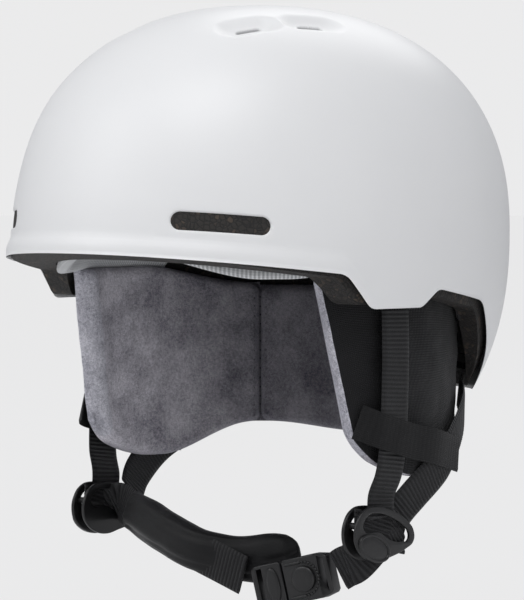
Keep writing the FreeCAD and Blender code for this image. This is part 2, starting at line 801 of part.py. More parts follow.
anchor = doc.addObject("PartDesign::Body", "anchor")
anchor_sketch = sketch_on(anchor, "anchor_outline")
half_long = size["anchor_length"] / 2
half_high = size["anchor_height"] / 2
outline(anchor_sketch, [(-half_long, -half_high), (half_long, -half_high), (half_long, half_high),
                        (-half_long, half_high)])
pad_feature(anchor, "anchor_block", anchor_sketch, "sizes.anchor_thick", midplane=True)
eye_sketch = sketch_on(anchor, "anchor_eye")
outline(eye_sketch, [(-10.8, -2.6), (10.8, -2.6), (10.8, 0.6), (-10.8, 0.6)])
eye = anchor.newObject("PartDesign::Pocket", "anchor_eye_cut")
eye.Profile = eye_sketch
eye.Midplane = True
eye.Length = 20.0
doc.recompute()

anchor_spots = [(V(98.2, -12.0, -23.6), away(90)), (V(65.0, 80.2, -61.0), away(141))]
anchor_copies = []
for spot, look in anchor_spots:
    for side in (1, -1):
        copy = doc.addObject("Part::Feature", "anchor_copy")
        copy.Shape = anchor.Shape
        way = V(look[0] * side, look[1], 0)
        copy.Placement = axes_placement(V(spot.x * side, spot.y, spot.z), V(-way.y, way.x, 0), way)
        anchor_copies.append(copy)
keep("strap_anchors", gather("strap_anchors", anchor_copies))


def ring(name, radius, hole, low, high, placement):
    outer = doc.addObject("Part::Cylinder", name + "_disc")
    outer.Radius = radius
    outer.Height = high - low
    outer.Placement = placement.multiply(FreeCAD.Placement(V(0, 0, low), FreeCAD.Rotation()))
    if not hole:
        return outer
    inner = doc.addObject("Part::Cylinder", name + "_hole")
    inner.Radius = hole
    inner.Height = high - low + 2
    inner.Placement = placement.multiply(FreeCAD.Placement(V(0, 0, low - 1), FreeCAD.Rotation()))
    return link("Part::Cut", name, outer, inner)


snap_spots = [(86.0, -17.0), (120.0, -33.0)]
sockets = []
socket_pockets = []
left_studs = []
for degrees, z in snap_spots:
    turn = math.radians(degrees)
    look = away(degrees)
    for side in (1, -1):
        spot = polar(turn * side, cavity_radius(turn, z), z)
        place = axes_placement(spot, (0, 0, 1), (look[0] * side, look[1], 0))
        sockets.append(ring("snap_socket", size["snap_radius"], size["stud_radius"] + 1.0, -0.2,
                            size["snap_thick"], place))
        socket_pockets.append(ring("socket_pocket", size["snap_radius"], 0, -3.0, size["snap_thick"], place))
        if side > 0:
            cap = ring("stud_cap", size["snap_radius"] - 1.0, 0, -1.1, -0.6, place)
            post = ring("stud_post", size["stud_radius"], 0, -0.8, 0.7, place)
            stud = link("Part::Fuse", "snap_stud", cap, post)
            left_studs.append(stud)
keep("snap_sockets", gather("snap_sockets", sockets))
both_sides("snap_studs", gather("snap_studs", left_studs))

# the ear pad's cover is pressed in under the studs and the rear webbing
cover_dents = gather("cover_dents", [node_shapes["left_snap_studs"], node_shapes["left_rear_strap"]])
both_sides("ear_pad_cover", link("Part::Cut", "ear_pad_cover_dented", ear_solids["cover"], cover_dents))

patch_spots = [(0.0, 89.0), (0.0, 48.0), (180.0, 48.0), (125.0, 56.0), (235.0, 56.0)]
patches = []
for degrees, lift in patch_spots:
    turn = math.radians(degrees)
    spot = cavity_point(turn, math.radians(lift), 0.0)
    tiny = 0.01
    along = cavity_point(turn, math.radians(lift) + tiny, 0.0) - spot
    across = V(math.cos(turn), math.sin(turn), 0)
    out = along.cross(across).normalize()
    if out.z < 0:
        out = out * -1
    patches.append(ring("hook_patch", size["patch_radius"], 0, -0.35, size["patch_thick"] - 0.35,
                        axes_placement(spot, across, out)))
keep("hook_patches", gather("hook_patches", patches))

foam_pockets = gather("foam_pockets", [node_shapes["strap_anchors"], node_shapes["hook_patches"]] + socket_pockets)
keep("foam_liner", link("Part::Cut", "foam_liner", foam_cut, foam_pockets))

# ---------------------------------------------------------------- goggle strap clip

back = math.pi


def back_point(z, lift):
    p, out = outward(back, z)
    return V(0, p.y, p.z) + V(0, out.y, out.z) * lift


clip_low = size["clip_top"] - size["clip_length"]
inner_lift = size["clip_stand_off"]
outer_lift = inner_lift + size["clip_thick"]


def clip_face(lift):
    def point(u, v):
        z = size["clip_top"] - 1.0 + (clip_low - size["clip_top"] + 1.0) * u
        return back_point(z, lift) + V((v - 0.5) * size["clip_width"], 0, 0)
    return point


keep("goggle_clip_strap", feature("goggle_clip_strap",
                                  slab(clip_face(outer_lift), clip_face(inner_lift), 11, 3)))
hinge_point = back_point(size["clip_top"], inner_lift + size["clip_thick"] / 2)
plate_spot, plate_out = outward(back, size["clip_top"] + 7.5)
clip_body = doc.addObject("PartDesign::Body", "clip_plate")
clip_sketch = sketch_on(clip_body, "clip_plate_outline")
outline(clip_sketch, [(-11, -6.0), (11, -6.0), (11, 6.0), (-11, 6.0)])
clip_pad = clip_body.newObject("PartDesign::Pad", "clip_plate_block")
clip_pad.Profile = clip_sketch
clip_pad.Length = 3.4
doc.recompute()
clip_body.Placement = axes_placement(plate_spot + plate_out * 0.5, (1, 0, 0), tuple(plate_out))
rivets = []
for x in (-6.0, 6.0):
    place = axes_placement(plate_spot + plate_out * 0.5 + V(x, 0, 0), (1, 0, 0), tuple(plate_out))
    rivets.append(link("Part::Fuse", "clip_rivet",
                       ring("rivet_shank", 1.6, 0, -8.0, 3.6, place),
                       ring("rivet_head", size["rivet_radius"], 0, 3.45, 4.6, place)))
keep("goggle_clip_rivets", gather("goggle_clip_rivets", rivets))
keep("goggle_clip_plate", link("Part::Cut", "goggle_clip_plate", clip_body, node_shapes["goggle_clip_rivets"]))
stud_spot, stud_out = outward(back, clip_low + 8.0)
stud_place = axes_placement(stud_spot, (1, 0, 0), tuple(stud_out))
keep("goggle_clip_stud", link("Part::Fuse", "goggle_clip_stud", ring("clip_stud", 4.0, 0, 0.1, 2.1, stud_place),
                              ring("clip_stud_shank", 1.6, 0, -8.0, 0.3, stud_place)))
keep("goggle_clip_cap", ring("clip_cap", 6.5, 0, outer_lift + 0.25, outer_lift + 2.4, stud_place))

# the rivets and the stud pass through the shell into the foam
for name in ("outer_shell", "foam_liner"):
    whole = node_shapes[name]
    whole.Label = name + "_undrilled"
    drill = gather(name + "_drill", [node_shapes["goggle_clip_rivets"], node_shapes["goggle_clip_stud"]])
    keep(name, link("Part::Cut", name + "_drilled", whole, drill))

# ---------------------------------------------------------------- checks and export

tab_hinge = buckle_place.multVec(V(latch_length - 6.0, tab_edge - 1.2, 0))
for name, spot in (("left ear flap", front_exit), ("ear flap axis", (front_exit - rear_exit).normalize()),
                   ("pull tab", tab_hinge), ("pull tab axis", strap_way * -1), ("goggle clip", hinge_point),
                   ("chin strap swing", swing_axis), ("goggle strap", back_point(0.0, 0.0))):
    print("%-18s %9.4f %9.4f %9.4f" % (name, spot.x, spot.y, spot.z))

doc.recompute()
for obj in doc.Objects:
    if "Invalid" in obj.State or "Error" in obj.State:
        raise RuntimeError("failed: " + obj.Name)
for name in sorted(node_shapes):
    shape = node_shapes[name].Shape
    if shape.isNull() or not shape.isValid() or not shape.Solids:
        raise RuntimeError("bad shape: " + name)
    shape.exportStep("parts/%s.step" % name)
    box = shape.BoundBox
    print("%-24s %2d solids %9.1f mm3  x %.1f..%.1f  y %.1f..%.1f  z %.1f..%.1f" % (
        name, len(shape.Solids), shape.Volume, box.XMin, box.XMax, box.YMin, box.YMax, box.ZMin, box.ZMax))
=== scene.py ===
import bpy
import bmesh
import json
import math
import random
from mathutils import Vector, Matrix


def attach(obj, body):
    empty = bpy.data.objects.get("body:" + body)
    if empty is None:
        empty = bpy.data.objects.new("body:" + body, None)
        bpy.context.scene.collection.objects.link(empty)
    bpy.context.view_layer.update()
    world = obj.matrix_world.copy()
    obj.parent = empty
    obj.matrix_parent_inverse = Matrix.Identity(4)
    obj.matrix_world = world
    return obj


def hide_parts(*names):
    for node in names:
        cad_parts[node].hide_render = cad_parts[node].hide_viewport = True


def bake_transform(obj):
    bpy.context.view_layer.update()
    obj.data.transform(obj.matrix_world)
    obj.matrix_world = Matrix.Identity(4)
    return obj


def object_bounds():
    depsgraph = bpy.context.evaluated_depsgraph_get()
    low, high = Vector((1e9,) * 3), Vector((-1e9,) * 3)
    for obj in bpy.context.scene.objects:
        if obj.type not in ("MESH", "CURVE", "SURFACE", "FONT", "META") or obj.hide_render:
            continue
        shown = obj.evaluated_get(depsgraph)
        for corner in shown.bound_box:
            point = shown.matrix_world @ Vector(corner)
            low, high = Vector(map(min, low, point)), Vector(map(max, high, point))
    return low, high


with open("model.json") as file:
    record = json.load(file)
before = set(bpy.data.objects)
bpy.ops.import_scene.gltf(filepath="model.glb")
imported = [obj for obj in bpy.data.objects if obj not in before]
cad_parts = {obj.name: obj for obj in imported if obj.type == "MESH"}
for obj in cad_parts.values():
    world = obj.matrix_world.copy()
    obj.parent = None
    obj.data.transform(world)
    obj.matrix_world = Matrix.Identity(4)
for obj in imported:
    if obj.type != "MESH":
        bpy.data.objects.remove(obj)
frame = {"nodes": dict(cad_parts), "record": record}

cadBox = [list(corner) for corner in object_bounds()]
random.seed(11)
mm = 0.001


def smooth(x):
    x = min(1.0, max(0.0, x))
    return x * x * (3.0 - 2.0 * x)


def mix(a, b, t):
    return a + (b - a) * t


def makePiece(name, points, faces, material, flat=None):
    # points are millimetres in the row frame; flat gives each point's place on the cloth, in millimetres
    mesh = bpy.data.meshes.new(name)
    mesh.from_pydata([(p[0] * mm, p[1] * mm, p[2] * mm) for p in points], [], faces)
    mesh.polygons.foreach_set("use_smooth", [True] * len(mesh.polygons))
    if flat:
        layer = mesh.uv_layers.new(name="flat")
        for loop in mesh.loops:
            layer.data[loop.index].uv = flat[loop.vertex_index]
    mesh.validate()
    mesh.update()
    piece = bpy.data.objects.new(name, mesh)
    bpy.context.scene.collection.objects.link(piece)
    piece.data.materials.append(material)
    return piece


def dress(piece, body, replaces=()):
    if replaces:
        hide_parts(*replaces)
    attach(piece, body)


def fixNormals(piece, weld=0.0):
    # turns all faces outwards, after joining points that are closer than weld millimetres
    net = bmesh.new()
    net.from_mesh(piece.data)
    if weld:
        bmesh.ops.remove_doubles(net, verts=net.verts, dist=weld * mm)
    bmesh.ops.recalc_face_normals(net, faces=net.faces)
    net.to_mesh(piece.data)
    net.free()


def sharpen(piece, degrees):
    net = bmesh.new()
    net.from_mesh(piece.data)
    limit = math.radians(degrees)
    for edge in net.edges:
        edge.smooth = len(edge.link_faces) != 2 or edge.calc_face_angle() < limit
    for face in net.faces:
        face.smooth = True
    net.to_mesh(piece.data)
    net.free()


def gridFaces(rows, columns, closed=False):
    faces = []
    for i in range(rows - 1):
        for j in range(columns if closed else columns - 1):
            k = (j + 1) % columns
            faces.append((i * columns + j, i * columns + k, (i + 1) * columns + k, (i + 1) * columns + j))
    return faces


def cappedTube(rows, around):
    faces = gridFaces(rows, around, closed=True)
    faces.append(tuple(range(around)))
    faces.append(tuple((rows - 1) * around + k for k in reversed(range(around))))
    return faces


def newGroup(name, inputs, outputs):
    group = bpy.data.node_groups.new(name, "ShaderNodeTree")
    for label, kind, value in inputs:
        socket = group.interface.new_socket(label, in_out="INPUT", socket_type=kind)
        if value is not None:
            socket.default_value = value
    for label, kind in outputs:
        group.interface.new_socket(label, in_out="OUTPUT", socket_type=kind)
    return group, group.nodes.new("NodeGroupInput"), group.nodes.new("NodeGroupOutput")


def mathNode(tree, kind, a, b=None, c=None):
    node = tree.nodes.new("ShaderNodeMath")
    node.operation = kind
    for i, value in enumerate((a, b, c)):
        if value is None:
            continue
        if isinstance(value, (int, float)):
            node.inputs[i].default_value = value
        else:
            tree.links.new(value, node.inputs[i])
    return node.outputs[0]


def mapRange(tree, value, **limits):
    node = tree.nodes.new("ShaderNodeMapRange")
    for label, limit in limits.items():
        node.inputs[label.replace("_", " ")].default_value = limit
    tree.links.new(value, node.inputs["Value"])
    return node


def colorMix(tree, share, dark, light):
    # dark and light are either a colour or a socket
    node = tree.nodes.new("ShaderNodeMix")
    node.data_type = "RGBA"
    tree.links.new(share, node.inputs[0])
    for index, color in ((6, dark), (7, light)):
        if isinstance(color, tuple):
            node.inputs[index].default_value = (*color, 1)
        else:
            tree.links.new(color, node.inputs[index])
    return node.outputs[2]


def buildGrain():
    # fine even grain: a height for bumps and a mask for roughness
    group, into, out = newGroup(
        "fineGrain",
        [("Scale", "NodeSocketFloat", 900.0), ("Detail", "NodeSocketFloat", 3.0)],
        [("Height", "NodeSocketFloat"), ("Mask", "NodeSocketFloat")])
    coord = group.nodes.new("ShaderNodeTexCoord")
    noise = group.nodes.new("ShaderNodeTexNoise")
    group.links.new(coord.outputs["Object"], noise.inputs["Vector"])
    group.links.new(into.outputs["Scale"], noise.inputs["Scale"])
    group.links.new(into.outputs["Detail"], noise.inputs["Detail"])
    group.links.new(noise.outputs["Fac"], out.inputs["Height"])
    group.links.new(mathNode(group, "POWER", noise.outputs["Fac"], 1.6), out.inputs["Mask"])
    return group


def buildPile():
    # deep pile: brushed patches, tufts and single hairs
    group, into, out = newGroup(
        "brushedPile",
        [("Patch Scale", "NodeSocketFloat", 38.0), ("Tuft Scale", "NodeSocketFloat", 420.0),
         ("Dark", "NodeSocketColor", (0.2, 0.2, 0.25, 1)), ("Light", "NodeSocketColor", (0.6, 0.6, 0.65, 1)),
         ("Patchiness", "NodeSocketFloat", 0.6)],
        [("Color", "NodeSocketColor"), ("Height", "NodeSocketFloat")])
    coord = group.nodes.new("ShaderNodeTexCoord")
    patch = group.nodes.new("ShaderNodeTexNoise")
    patch.inputs["Detail"].default_value = 5.0
    patch.inputs["Roughness"].default_value = 0.62
    patch.inputs["Distortion"].default_value = 0.12
    tuft = group.nodes.new("ShaderNodeTexNoise")
    tuft.inputs["Detail"].default_value = 4.0
    tuft.inputs["Roughness"].default_value = 0.75
    hair = group.nodes.new("ShaderNodeTexNoise")
    hair.inputs["Scale"].default_value = 2600.0
    hair.inputs["Detail"].default_value = 2.0
    for node in (patch, tuft, hair):
        group.links.new(coord.outputs["Object"], node.inputs["Vector"])
    group.links.new(into.outputs["Patch Scale"], patch.inputs["Scale"])
    group.links.new(into.outputs["Tuft Scale"], tuft.inputs["Scale"])
    patches = mapRange(group, patch.outputs["Fac"], From_Min=0.36, From_Max=0.64)
    hairs = mathNode(group, "ADD", mathNode(group, "MULTIPLY", tuft.outputs["Fac"], 0.55),
                     mathNode(group, "MULTIPLY", hair.outputs["Fac"], 0.45))
    fine = mapRange(group, hairs, From_Min=0.38, From_Max=0.62)
    rest = mathNode(group, "SUBTRACT", 1.0, into.outputs["Patchiness"])
    weight = mathNode(group, "ADD",
                      mathNode(group, "MULTIPLY", patches.outputs[0], into.outputs["Patchiness"]),
                      mathNode(group, "MULTIPLY", fine.outputs[0], rest))
    group.links.new(colorMix(group, weight, into.outputs["Dark"], into.outputs["Light"]), out.inputs["Color"])
    group.links.new(mathNode(group, "ADD", mathNode(group, "MULTIPLY", tuft.outputs["Fac"], 0.7),
                             mathNode(group, "MULTIPLY", hair.outputs["Fac"], 0.5)), out.inputs["Height"])
    return group


def buildRibs():
    # parallel yarns along the cloth's own length or width, with small breaks; on the webbing its mask is also a
    # painted highlight on each rib
    group, into, out = newGroup(
        "yarnRibsAndRibHighlight",
        [("Along", "NodeSocketFloat", 2.0), ("Across", "NodeSocketFloat", 1.0),
         ("Cross Share", "NodeSocketFloat", 0.3)],
        [("Height", "NodeSocketFloat"), ("Mask", "NodeSocketFloat")])
    place = group.nodes.new("ShaderNodeUVMap")
    place.uv_map = "flat"
    split = group.nodes.new("ShaderNodeSeparateXYZ")
    group.links.new(place.outputs[0], split.inputs[0])
    longWave = mathNode(group, "SINE", mathNode(group, "MULTIPLY", split.outputs[0], into.outputs["Along"]))
    crossWave = mathNode(group, "SINE", mathNode(group, "MULTIPLY", split.outputs[1], into.outputs["Across"]))
    both = mathNode(group, "ADD", mathNode(group, "MULTIPLY", longWave,
                                           mathNode(group, "SUBTRACT", 1.0, into.outputs["Cross Share"])),
                    mathNode(group, "MULTIPLY", crossWave, into.outputs["Cross Share"]))
    level = mathNode(group, "MULTIPLY_ADD", both, 0.5, 0.5)
    group.links.new(level, out.inputs["Height"])
    group.links.new(level, out.inputs["Mask"])
    return group


def buildBeads():
    # pressed foam beads with dark joints between them
    group, into, out = newGroup(
        "pressedBeads",
        [("Scale", "NodeSocketFloat", 420.0), ("Joint", "NodeSocketColor", (0.01, 0.01, 0.01, 1)),
         ("Bead", "NodeSocketColor", (0.05, 0.045, 0.04, 1)),
         ("Fleck", "NodeSocketColor", (0.2, 0.17, 0.14, 1))],
        [("Color", "NodeSocketColor"), ("Height", "NodeSocketFloat")])
    coord = group.nodes.new("ShaderNodeTexCoord")
    cell = group.nodes.new("ShaderNodeTexVoronoi")
    cell.feature = "F1"
    edge = group.nodes.new("ShaderNodeTexVoronoi")
    edge.feature = "DISTANCE_TO_EDGE"
    for node in (cell, edge):
        group.links.new(coord.outputs["Object"], node.inputs["Vector"])
        group.links.new(into.outputs["Scale"], node.inputs["Scale"])
    joint = mapRange(group, edge.outputs["Distance"], From_Max=0.16)
    tone = group.nodes.new("ShaderNodeSeparateColor")
    group.links.new(cell.outputs["Color"], tone.inputs[0])
    fleck = mapRange(group, tone.outputs[0], From_Min=0.72, From_Max=0.95)
    bead = colorMix(group, fleck.outputs[0], into.outputs["Bead"], into.outputs["Fleck"])
    group.links.new(colorMix(group, joint.outputs[0], into.outputs["Joint"], bead), out.inputs["Color"])
    group.links.new(joint.outputs[0], out.inputs["Height"])
    return group


grainGroup = buildGrain()
pileGroup = buildPile()
ribsGroup = buildRibs()
beadsGroup = buildBeads()
print("stage: node groups")


def newMaterial(name, color, roughness, **sockets):
    material = bpy.data.materials.new(name)
    material.use_nodes = True
    shader = material.node_tree.nodes["Principled BSDF"]
    shader.inputs["Base Color"].default_value = (*color, 1)
    shader.inputs["Roughness"].default_value = roughness
    for label, value in sockets.items():
        shader.inputs[label.replace("_", " ")].default_value = value
    return material, material.node_tree, shader


def place(tree, group, **values):
    node = tree.nodes.new("ShaderNodeGroup")
    node.node_tree = group
    for label, value in values.items():
        node.inputs[label.replace("_", " ")].default_value = value
    return node


def bump(tree, shader, height, strength, distance, below=None):
    node = tree.nodes.new("ShaderNodeBump")
    node.inputs["Strength"].default_value = strength
    node.inputs["Distance"].default_value = distance
    tree.links.new(height, node.inputs["Height"])
    if below:
        tree.links.new(below.outputs[0], node.inputs["Normal"])
    tree.links.new(node.outputs[0], shader.inputs["Normal"])
    return node


def ramp(tree, value, low, high, target):
    tree.links.new(mapRange(tree, value, To_Min=low, To_Max=high).outputs[0], target)


def tint(tree, value, dark, light, target):
    tree.links.new(colorMix(tree, value, dark, light), target)


def shellFinish():
    finish = {"color": (0.83, 0.835, 0.84), "rough": (0.36, 0.48), "peel": 190.0}
    material, tree, shader = newMaterial("shellWhite", finish["color"], 0.42, Coat_Weight=0.12,
                                         Coat_Roughness=0.35, Specular_IOR_Level=0.42)
    peel = place(tree, grainGroup, Scale=finish["peel"], Detail=2.0)
    fine = place(tree, grainGroup, Scale=2400.0, Detail=2.0)
    soft = place(tree, grainGroup, Scale=14.0, Detail=3.0)
    first = bump(tree, shader, peel.outputs["Height"], 0.05, 0.0004)
    bump(tree, shader, fine.outputs["Height"], 0.12, 0.00006, first)
    ramp(tree, soft.outputs["Mask"], finish["rough"][0], finish["rough"][1], shader.inputs["Roughness"])
    tint(tree, soft.outputs["Height"], (0.81, 0.815, 0.82), (0.85, 0.853, 0.856), shader.inputs["Base Color"])
    return material


def foamFinish():
    material, tree, shader = newMaterial("foamBlack", (0.03, 0.03, 0.03), 0.72)
    beads = place(tree, beadsGroup, Scale=430.0, Joint=(0.006, 0.006, 0.006, 1),
                  Bead=(0.022, 0.019, 0.017, 1), Fleck=(0.06, 0.045, 0.034, 1))
    tree.links.new(beads.outputs["Color"], shader.inputs["Base Color"])
    bump(tree, shader, beads.outputs["Height"], 0.55, 0.0005)
    return material


def plushFinish(name, dark, light, patch, share, paintedRearShade):
    # brushed plush, with painted shade: the colour darkens towards the back of the helmet, where the lining lies
    # in shade
    material, tree, shader = newMaterial(name, light, 0.95, Sheen_Weight=0.35, Sheen_Roughness=0.5,
                                         Sheen_Tint=(0.86, 0.86, 0.95, 1), Specular_IOR_Level=0.15)
    pile = place(tree, pileGroup, Patch_Scale=patch, Tuft_Scale=700.0, Dark=(*dark, 1), Light=(*light, 1),
                 Patchiness=share)
    coord = tree.nodes.new("ShaderNodeTexCoord")
    split = tree.nodes.new("ShaderNodeSeparateXYZ")
    tree.links.new(coord.outputs["Object"], split.inputs[0])
    # painted shade: from the front to the back the colour is mixed towards near-black
    rear = mapRange(tree, split.outputs[1], From_Min=-0.03, From_Max=0.085, To_Min=1.0,
                    To_Max=1.0 - paintedRearShade)
    rear.interpolation_type = "SMOOTHSTEP"
    tint(tree, rear.outputs[0], (0.012, 0.011, 0.016), pile.outputs["Color"], shader.inputs["Base Color"])
    bump(tree, shader, pile.outputs["Height"], 0.9, 0.0009)
    return material


def knitFinish(name, dark, light, along, across, share, strength, roughness, sheen):
    material, tree, shader = newMaterial(name, light, roughness, Sheen_Weight=sheen, Sheen_Roughness=0.45,
                                         Specular_IOR_Level=0.25)
    ribs = place(tree, ribsGroup, Along=along, Across=across, Cross_Share=share)
    grain = place(tree, grainGroup, Scale=1500.0, Detail=4.0)
    cloud = place(tree, grainGroup, Scale=60.0, Detail=4.0)
    # colour follows the rib mask; on the webbing this lightening of each rib crest is a painted highlight
    uneven = mathNode(tree, "MULTIPLY_ADD", cloud.outputs["Height"], 0.8, 0.4)
    wide = mathNode(tree, "MULTIPLY", ribs.outputs["Mask"], uneven)
    tint(tree, wide, dark, light, shader.inputs["Base Color"])
    first = bump(tree, shader, ribs.outputs["Height"], strength, 0.0004)
    bump(tree, shader, grain.outputs["Height"], 0.45, 0.0003, first)
    return material


def plasticFinish(name, color, low, high):
    material, tree, shader = newMaterial(name, color, low, Specular_IOR_Level=0.5)
    grain = place(tree, grainGroup, Scale=1800.0, Detail=3.0)
    scuff = place(tree, grainGroup, Scale=120.0, Detail=5.0)
    ramp(tree, scuff.outputs["Mask"], low, high, shader.inputs["Roughness"])
    tint(tree, scuff.outputs["Height"], tuple(c * 0.75 for c in color), tuple(c * 1.5 for c in color),
         shader.inputs["Base Color"])
    bump(tree, shader, grain.outputs["Height"], 0.25, 0.00012)
    return material


def steelFinish():
    material, tree, shader = newMaterial("platedSteel", (0.5, 0.5, 0.51), 0.3, Metallic=1.0)
    grain = place(tree, grainGroup, Scale=700.0, Detail=4.0)
    ramp(tree, grain.outputs["Mask"], 0.22, 0.42, shader.inputs["Roughness"])
    bump(tree, shader, grain.outputs["Height"], 0.1, 0.0001)
    return material


def foamCoreFinish():
    material, tree, shader = newMaterial("padFoam", (0.2, 0.2, 0.22), 0.9)
    beads = place(tree, beadsGroup, Scale=1400.0, Joint=(0.06, 0.06, 0.07, 1), Bead=(0.2, 0.2, 0.22, 1),
                  Fleck=(0.28, 0.28, 0.3, 1))
    tree.links.new(beads.outputs["Color"], shader.inputs["Base Color"])
    bump(tree, shader, beads.outputs["Height"], 0.6, 0.0003)
    return material


materials = {
    "shell_white": shellFinish(),
    "foam_black": foamFinish(),
    # the plush's last number is how strongly painted shade darkens it towards the back
    "plush_grey": plushFinish("plushGrey", (0.10, 0.092, 0.13), (0.97, 0.94, 1.0), 46.0, 0.45, 0.72),
    "knit_light": knitFinish("knitLight", (0.36, 0.37, 0.38),
                             (0.9, 0.91, 0.92), 3.4, 5.2, 0.2, 0.9, 0.9, 0.3),
    "knit_black": knitFinish("knitBlack", (0.003, 0.003, 0.0035),
                             (0.015, 0.015, 0.017), 5.0, 5.0, 0.5, 0.7, 0.75, 0.12),
    "pad_foam": foamCoreFinish(),
    # webbing: 2.992 puts the lighter colour on the moulded ribs of 2.1 mm pitch, as a painted highlight
    "web_black": knitFinish("webBlack", (0.0015, 0.0015, 0.002),
                            (0.03, 0.03, 0.032), 2.992, 8.0, 0.3, 0.5, 0.5, 0.1),
    "elastic_black": knitFinish("elasticBlack", (0.003, 0.003, 0.0035),
                                (0.011, 0.011, 0.012), 2.0, 7.0, 0.7, 0.35, 0.7, 0.1),
    "satin_black": knitFinish("satinBlack", (0.0025, 0.0025, 0.003),
                              (0.008, 0.008, 0.009), 12.0, 12.0, 0.5, 0.15, 0.45, 0.12),
    "plastic_black": plasticFinish("plasticBlack", (0.008, 0.008, 0.0085), 0.3, 0.46),
    "steel": steelFinish(),
    "hook_black": knitFinish("hookBlack", (0.004, 0.004, 0.004),
                             (0.05, 0.05, 0.05), 8.0, 8.0, 0.5, 0.9, 0.8, 0.1),
}
plushEdge = plushFinish("plushEdge", (0.2, 0.2, 0.25), (0.85, 0.84, 0.90), 70.0, 0.3, 0.0)
print("stage: materials")

slotOf = {entry["node"]: entry["material_slot"] for entry in frame["record"]["subparts"]}
for nodeName, node in frame["nodes"].items():
    node.data.materials.clear()
    node.data.materials.append(materials[slotOf[nodeName]])
    for polygon in node.data.polygons:
        polygon.material_index = 0


form = {"halfWidth": 111.0, "halfLength": 138.0, "crown": 118.0, "tuck": 132.0, "plan": 2.08, "profile": 2.3,
        "hollowWidth": 85.0, "hollowLength": 108.0, "hollowTop": 90.0, "hollowMiddle": 12.0,
        "hollowDepth": 112.0}


def planRadius(turn, halfWidth, halfLength):
    s, c = abs(math.sin(turn)), abs(math.cos(turn))
    return ((s / halfWidth) ** form["plan"] + (c / halfLength) ** form["plan"]) ** (-1.0 / form["plan"])


def polar(turn, radius, z):
    return Vector((radius * math.sin(turn), -radius * math.cos(turn), z))


def bulge(lift):
    c, s = abs(math.cos(lift)), abs(math.sin(lift))
    return (c ** form["profile"] + s ** form["profile"]) ** (-1.0 / form["profile"])


def shellPoint(turn, lift, inset=0.0):
    rho = bulge(lift)
    radius = planRadius(turn, form["halfWidth"] - inset, form["halfLength"] - inset)
    middle = -1.0 - 9.0 * math.cos(turn)
    reach = form["crown"] - inset - middle if lift >= 0 else form["tuck"] - inset
    return polar(turn, radius * rho * math.cos(lift), middle + reach * rho * math.sin(lift))


def hollowRadius(turn, z, inset=0.0):
    u = max(0.0, (form["hollowMiddle"] - z) / form["hollowDepth"])
    swell = 1.0 + 0.125 * abs(math.sin(turn)) * smooth(3.0 * u) - 0.05 * math.cos(turn) ** 2 * u * u
    radius = planRadius(turn, form["hollowWidth"], form["hollowLength"]) * swell - inset
    if z > form["hollowMiddle"]:
        h = (z - form["hollowMiddle"]) / (form["hollowTop"] - inset - form["hollowMiddle"])
        radius *= (1.0 - min(1.0, h) ** form["profile"]) ** (1.0 / form["profile"])
    return radius


def padRadius(turn, z):
    drop = smooth((-30.0 - z) / 70.0)
    free = planRadius(turn, 94.0 + drop, 101.0 - 6.0 * drop)
    room = 1.2 + 3.2 * smooth((math.degrees(turn) - 98.0) / 30.0)
    return min(free, hollowRadius(turn, z, room))


def edgeLine(corners):
    # side outline of an edge as heights at y, with each corner rounded by its third number
    places = []
    for i, (y, z, rounding) in enumerate(corners):
        here = Vector((y, z))
        if not rounding:
            places.append(here)
            continue
        before = (Vector(corners[i - 1][:2]) - here).normalized()
        after = (Vector(corners[i + 1][:2]) - here).normalized()
        half = 0.5 * before.angle(after)
        cut = rounding / math.tan(half)
        a, b = here + before * cut, here + after * cut
        centre = here + (before + after).normalized() * (rounding / math.sin(half))
        first = math.atan2(*(a - centre).yx)
        sweep = (math.atan2(*(b - centre).yx) - first + math.pi) % (2 * math.pi) - math.pi
        for k in range(9):
            angle = first + sweep * k / 8
            places.append(centre + Vector((math.cos(angle), math.sin(angle))) * rounding)
    return places


def heightAt(places, y):
    for a, b in zip(places, places[1:]):
        if a.x <= y <= b.x:
            return mix(a.y, b.y, (y - a.x) / max(1e-6, b.x - a.x))
    return places[-1].y


shellEdge = edgeLine([(-170, 1, 0), (-55, -12.5, 9), (-41, -29, 7), (-8, -29, 6), (4, -20.5, 7),
                      (46, -27.5, 12), (67, -55, 30), (76, -74, 12), (170, -77, 0)])


shell = {"columns": 480, "rows": 104, "lip": 1.25, "edgeSteps": 6, "tuckUp": 9.0,
         "brimInset": 2.1, "slot": (46.0, 8.5), "slotTurn": 33.6, "slotHeight": 12.0, "slotSlope": 3.9,
         "rim": 1.1, "scoopBall": 12.0, "scoopDepth": 3.6, "scoopLength": 15.0, "slit": (13.0, 3.2),
         "scoops": ((38.5, -52.0, 18.0), (50.5, -20.0, 21.0))}


def liftWhere(turn, test):
    low, high = math.radians(-48), math.radians(89.9)
    for _ in range(36):
        middle = 0.5 * (low + high)
        if test(shellPoint(turn, middle)):
            low = middle
        else:
            high = middle
    return low


def outwardAt(turn, lift):
    tiny = 0.002
    across = shellPoint(turn + tiny, lift) - shellPoint(turn - tiny, lift)
    up = shellPoint(turn, lift + tiny) - shellPoint(turn, lift - tiny)
    out = across.cross(up).normalized()
    point = shellPoint(turn, lift)
    return point, out if out.dot(Vector((point.x, point.y, 0.2))) > 0 else -out


def pillDistance(a, b, length, width):
    return math.hypot(max(0.0, abs(a) - 0.5 * (length - width)), b) - 0.5 * width


def pillCore(a, length, width):
    # the nearest place to a on the middle line of a slot
    return max(-0.5 * (length - width), min(0.5 * (length - width), a))


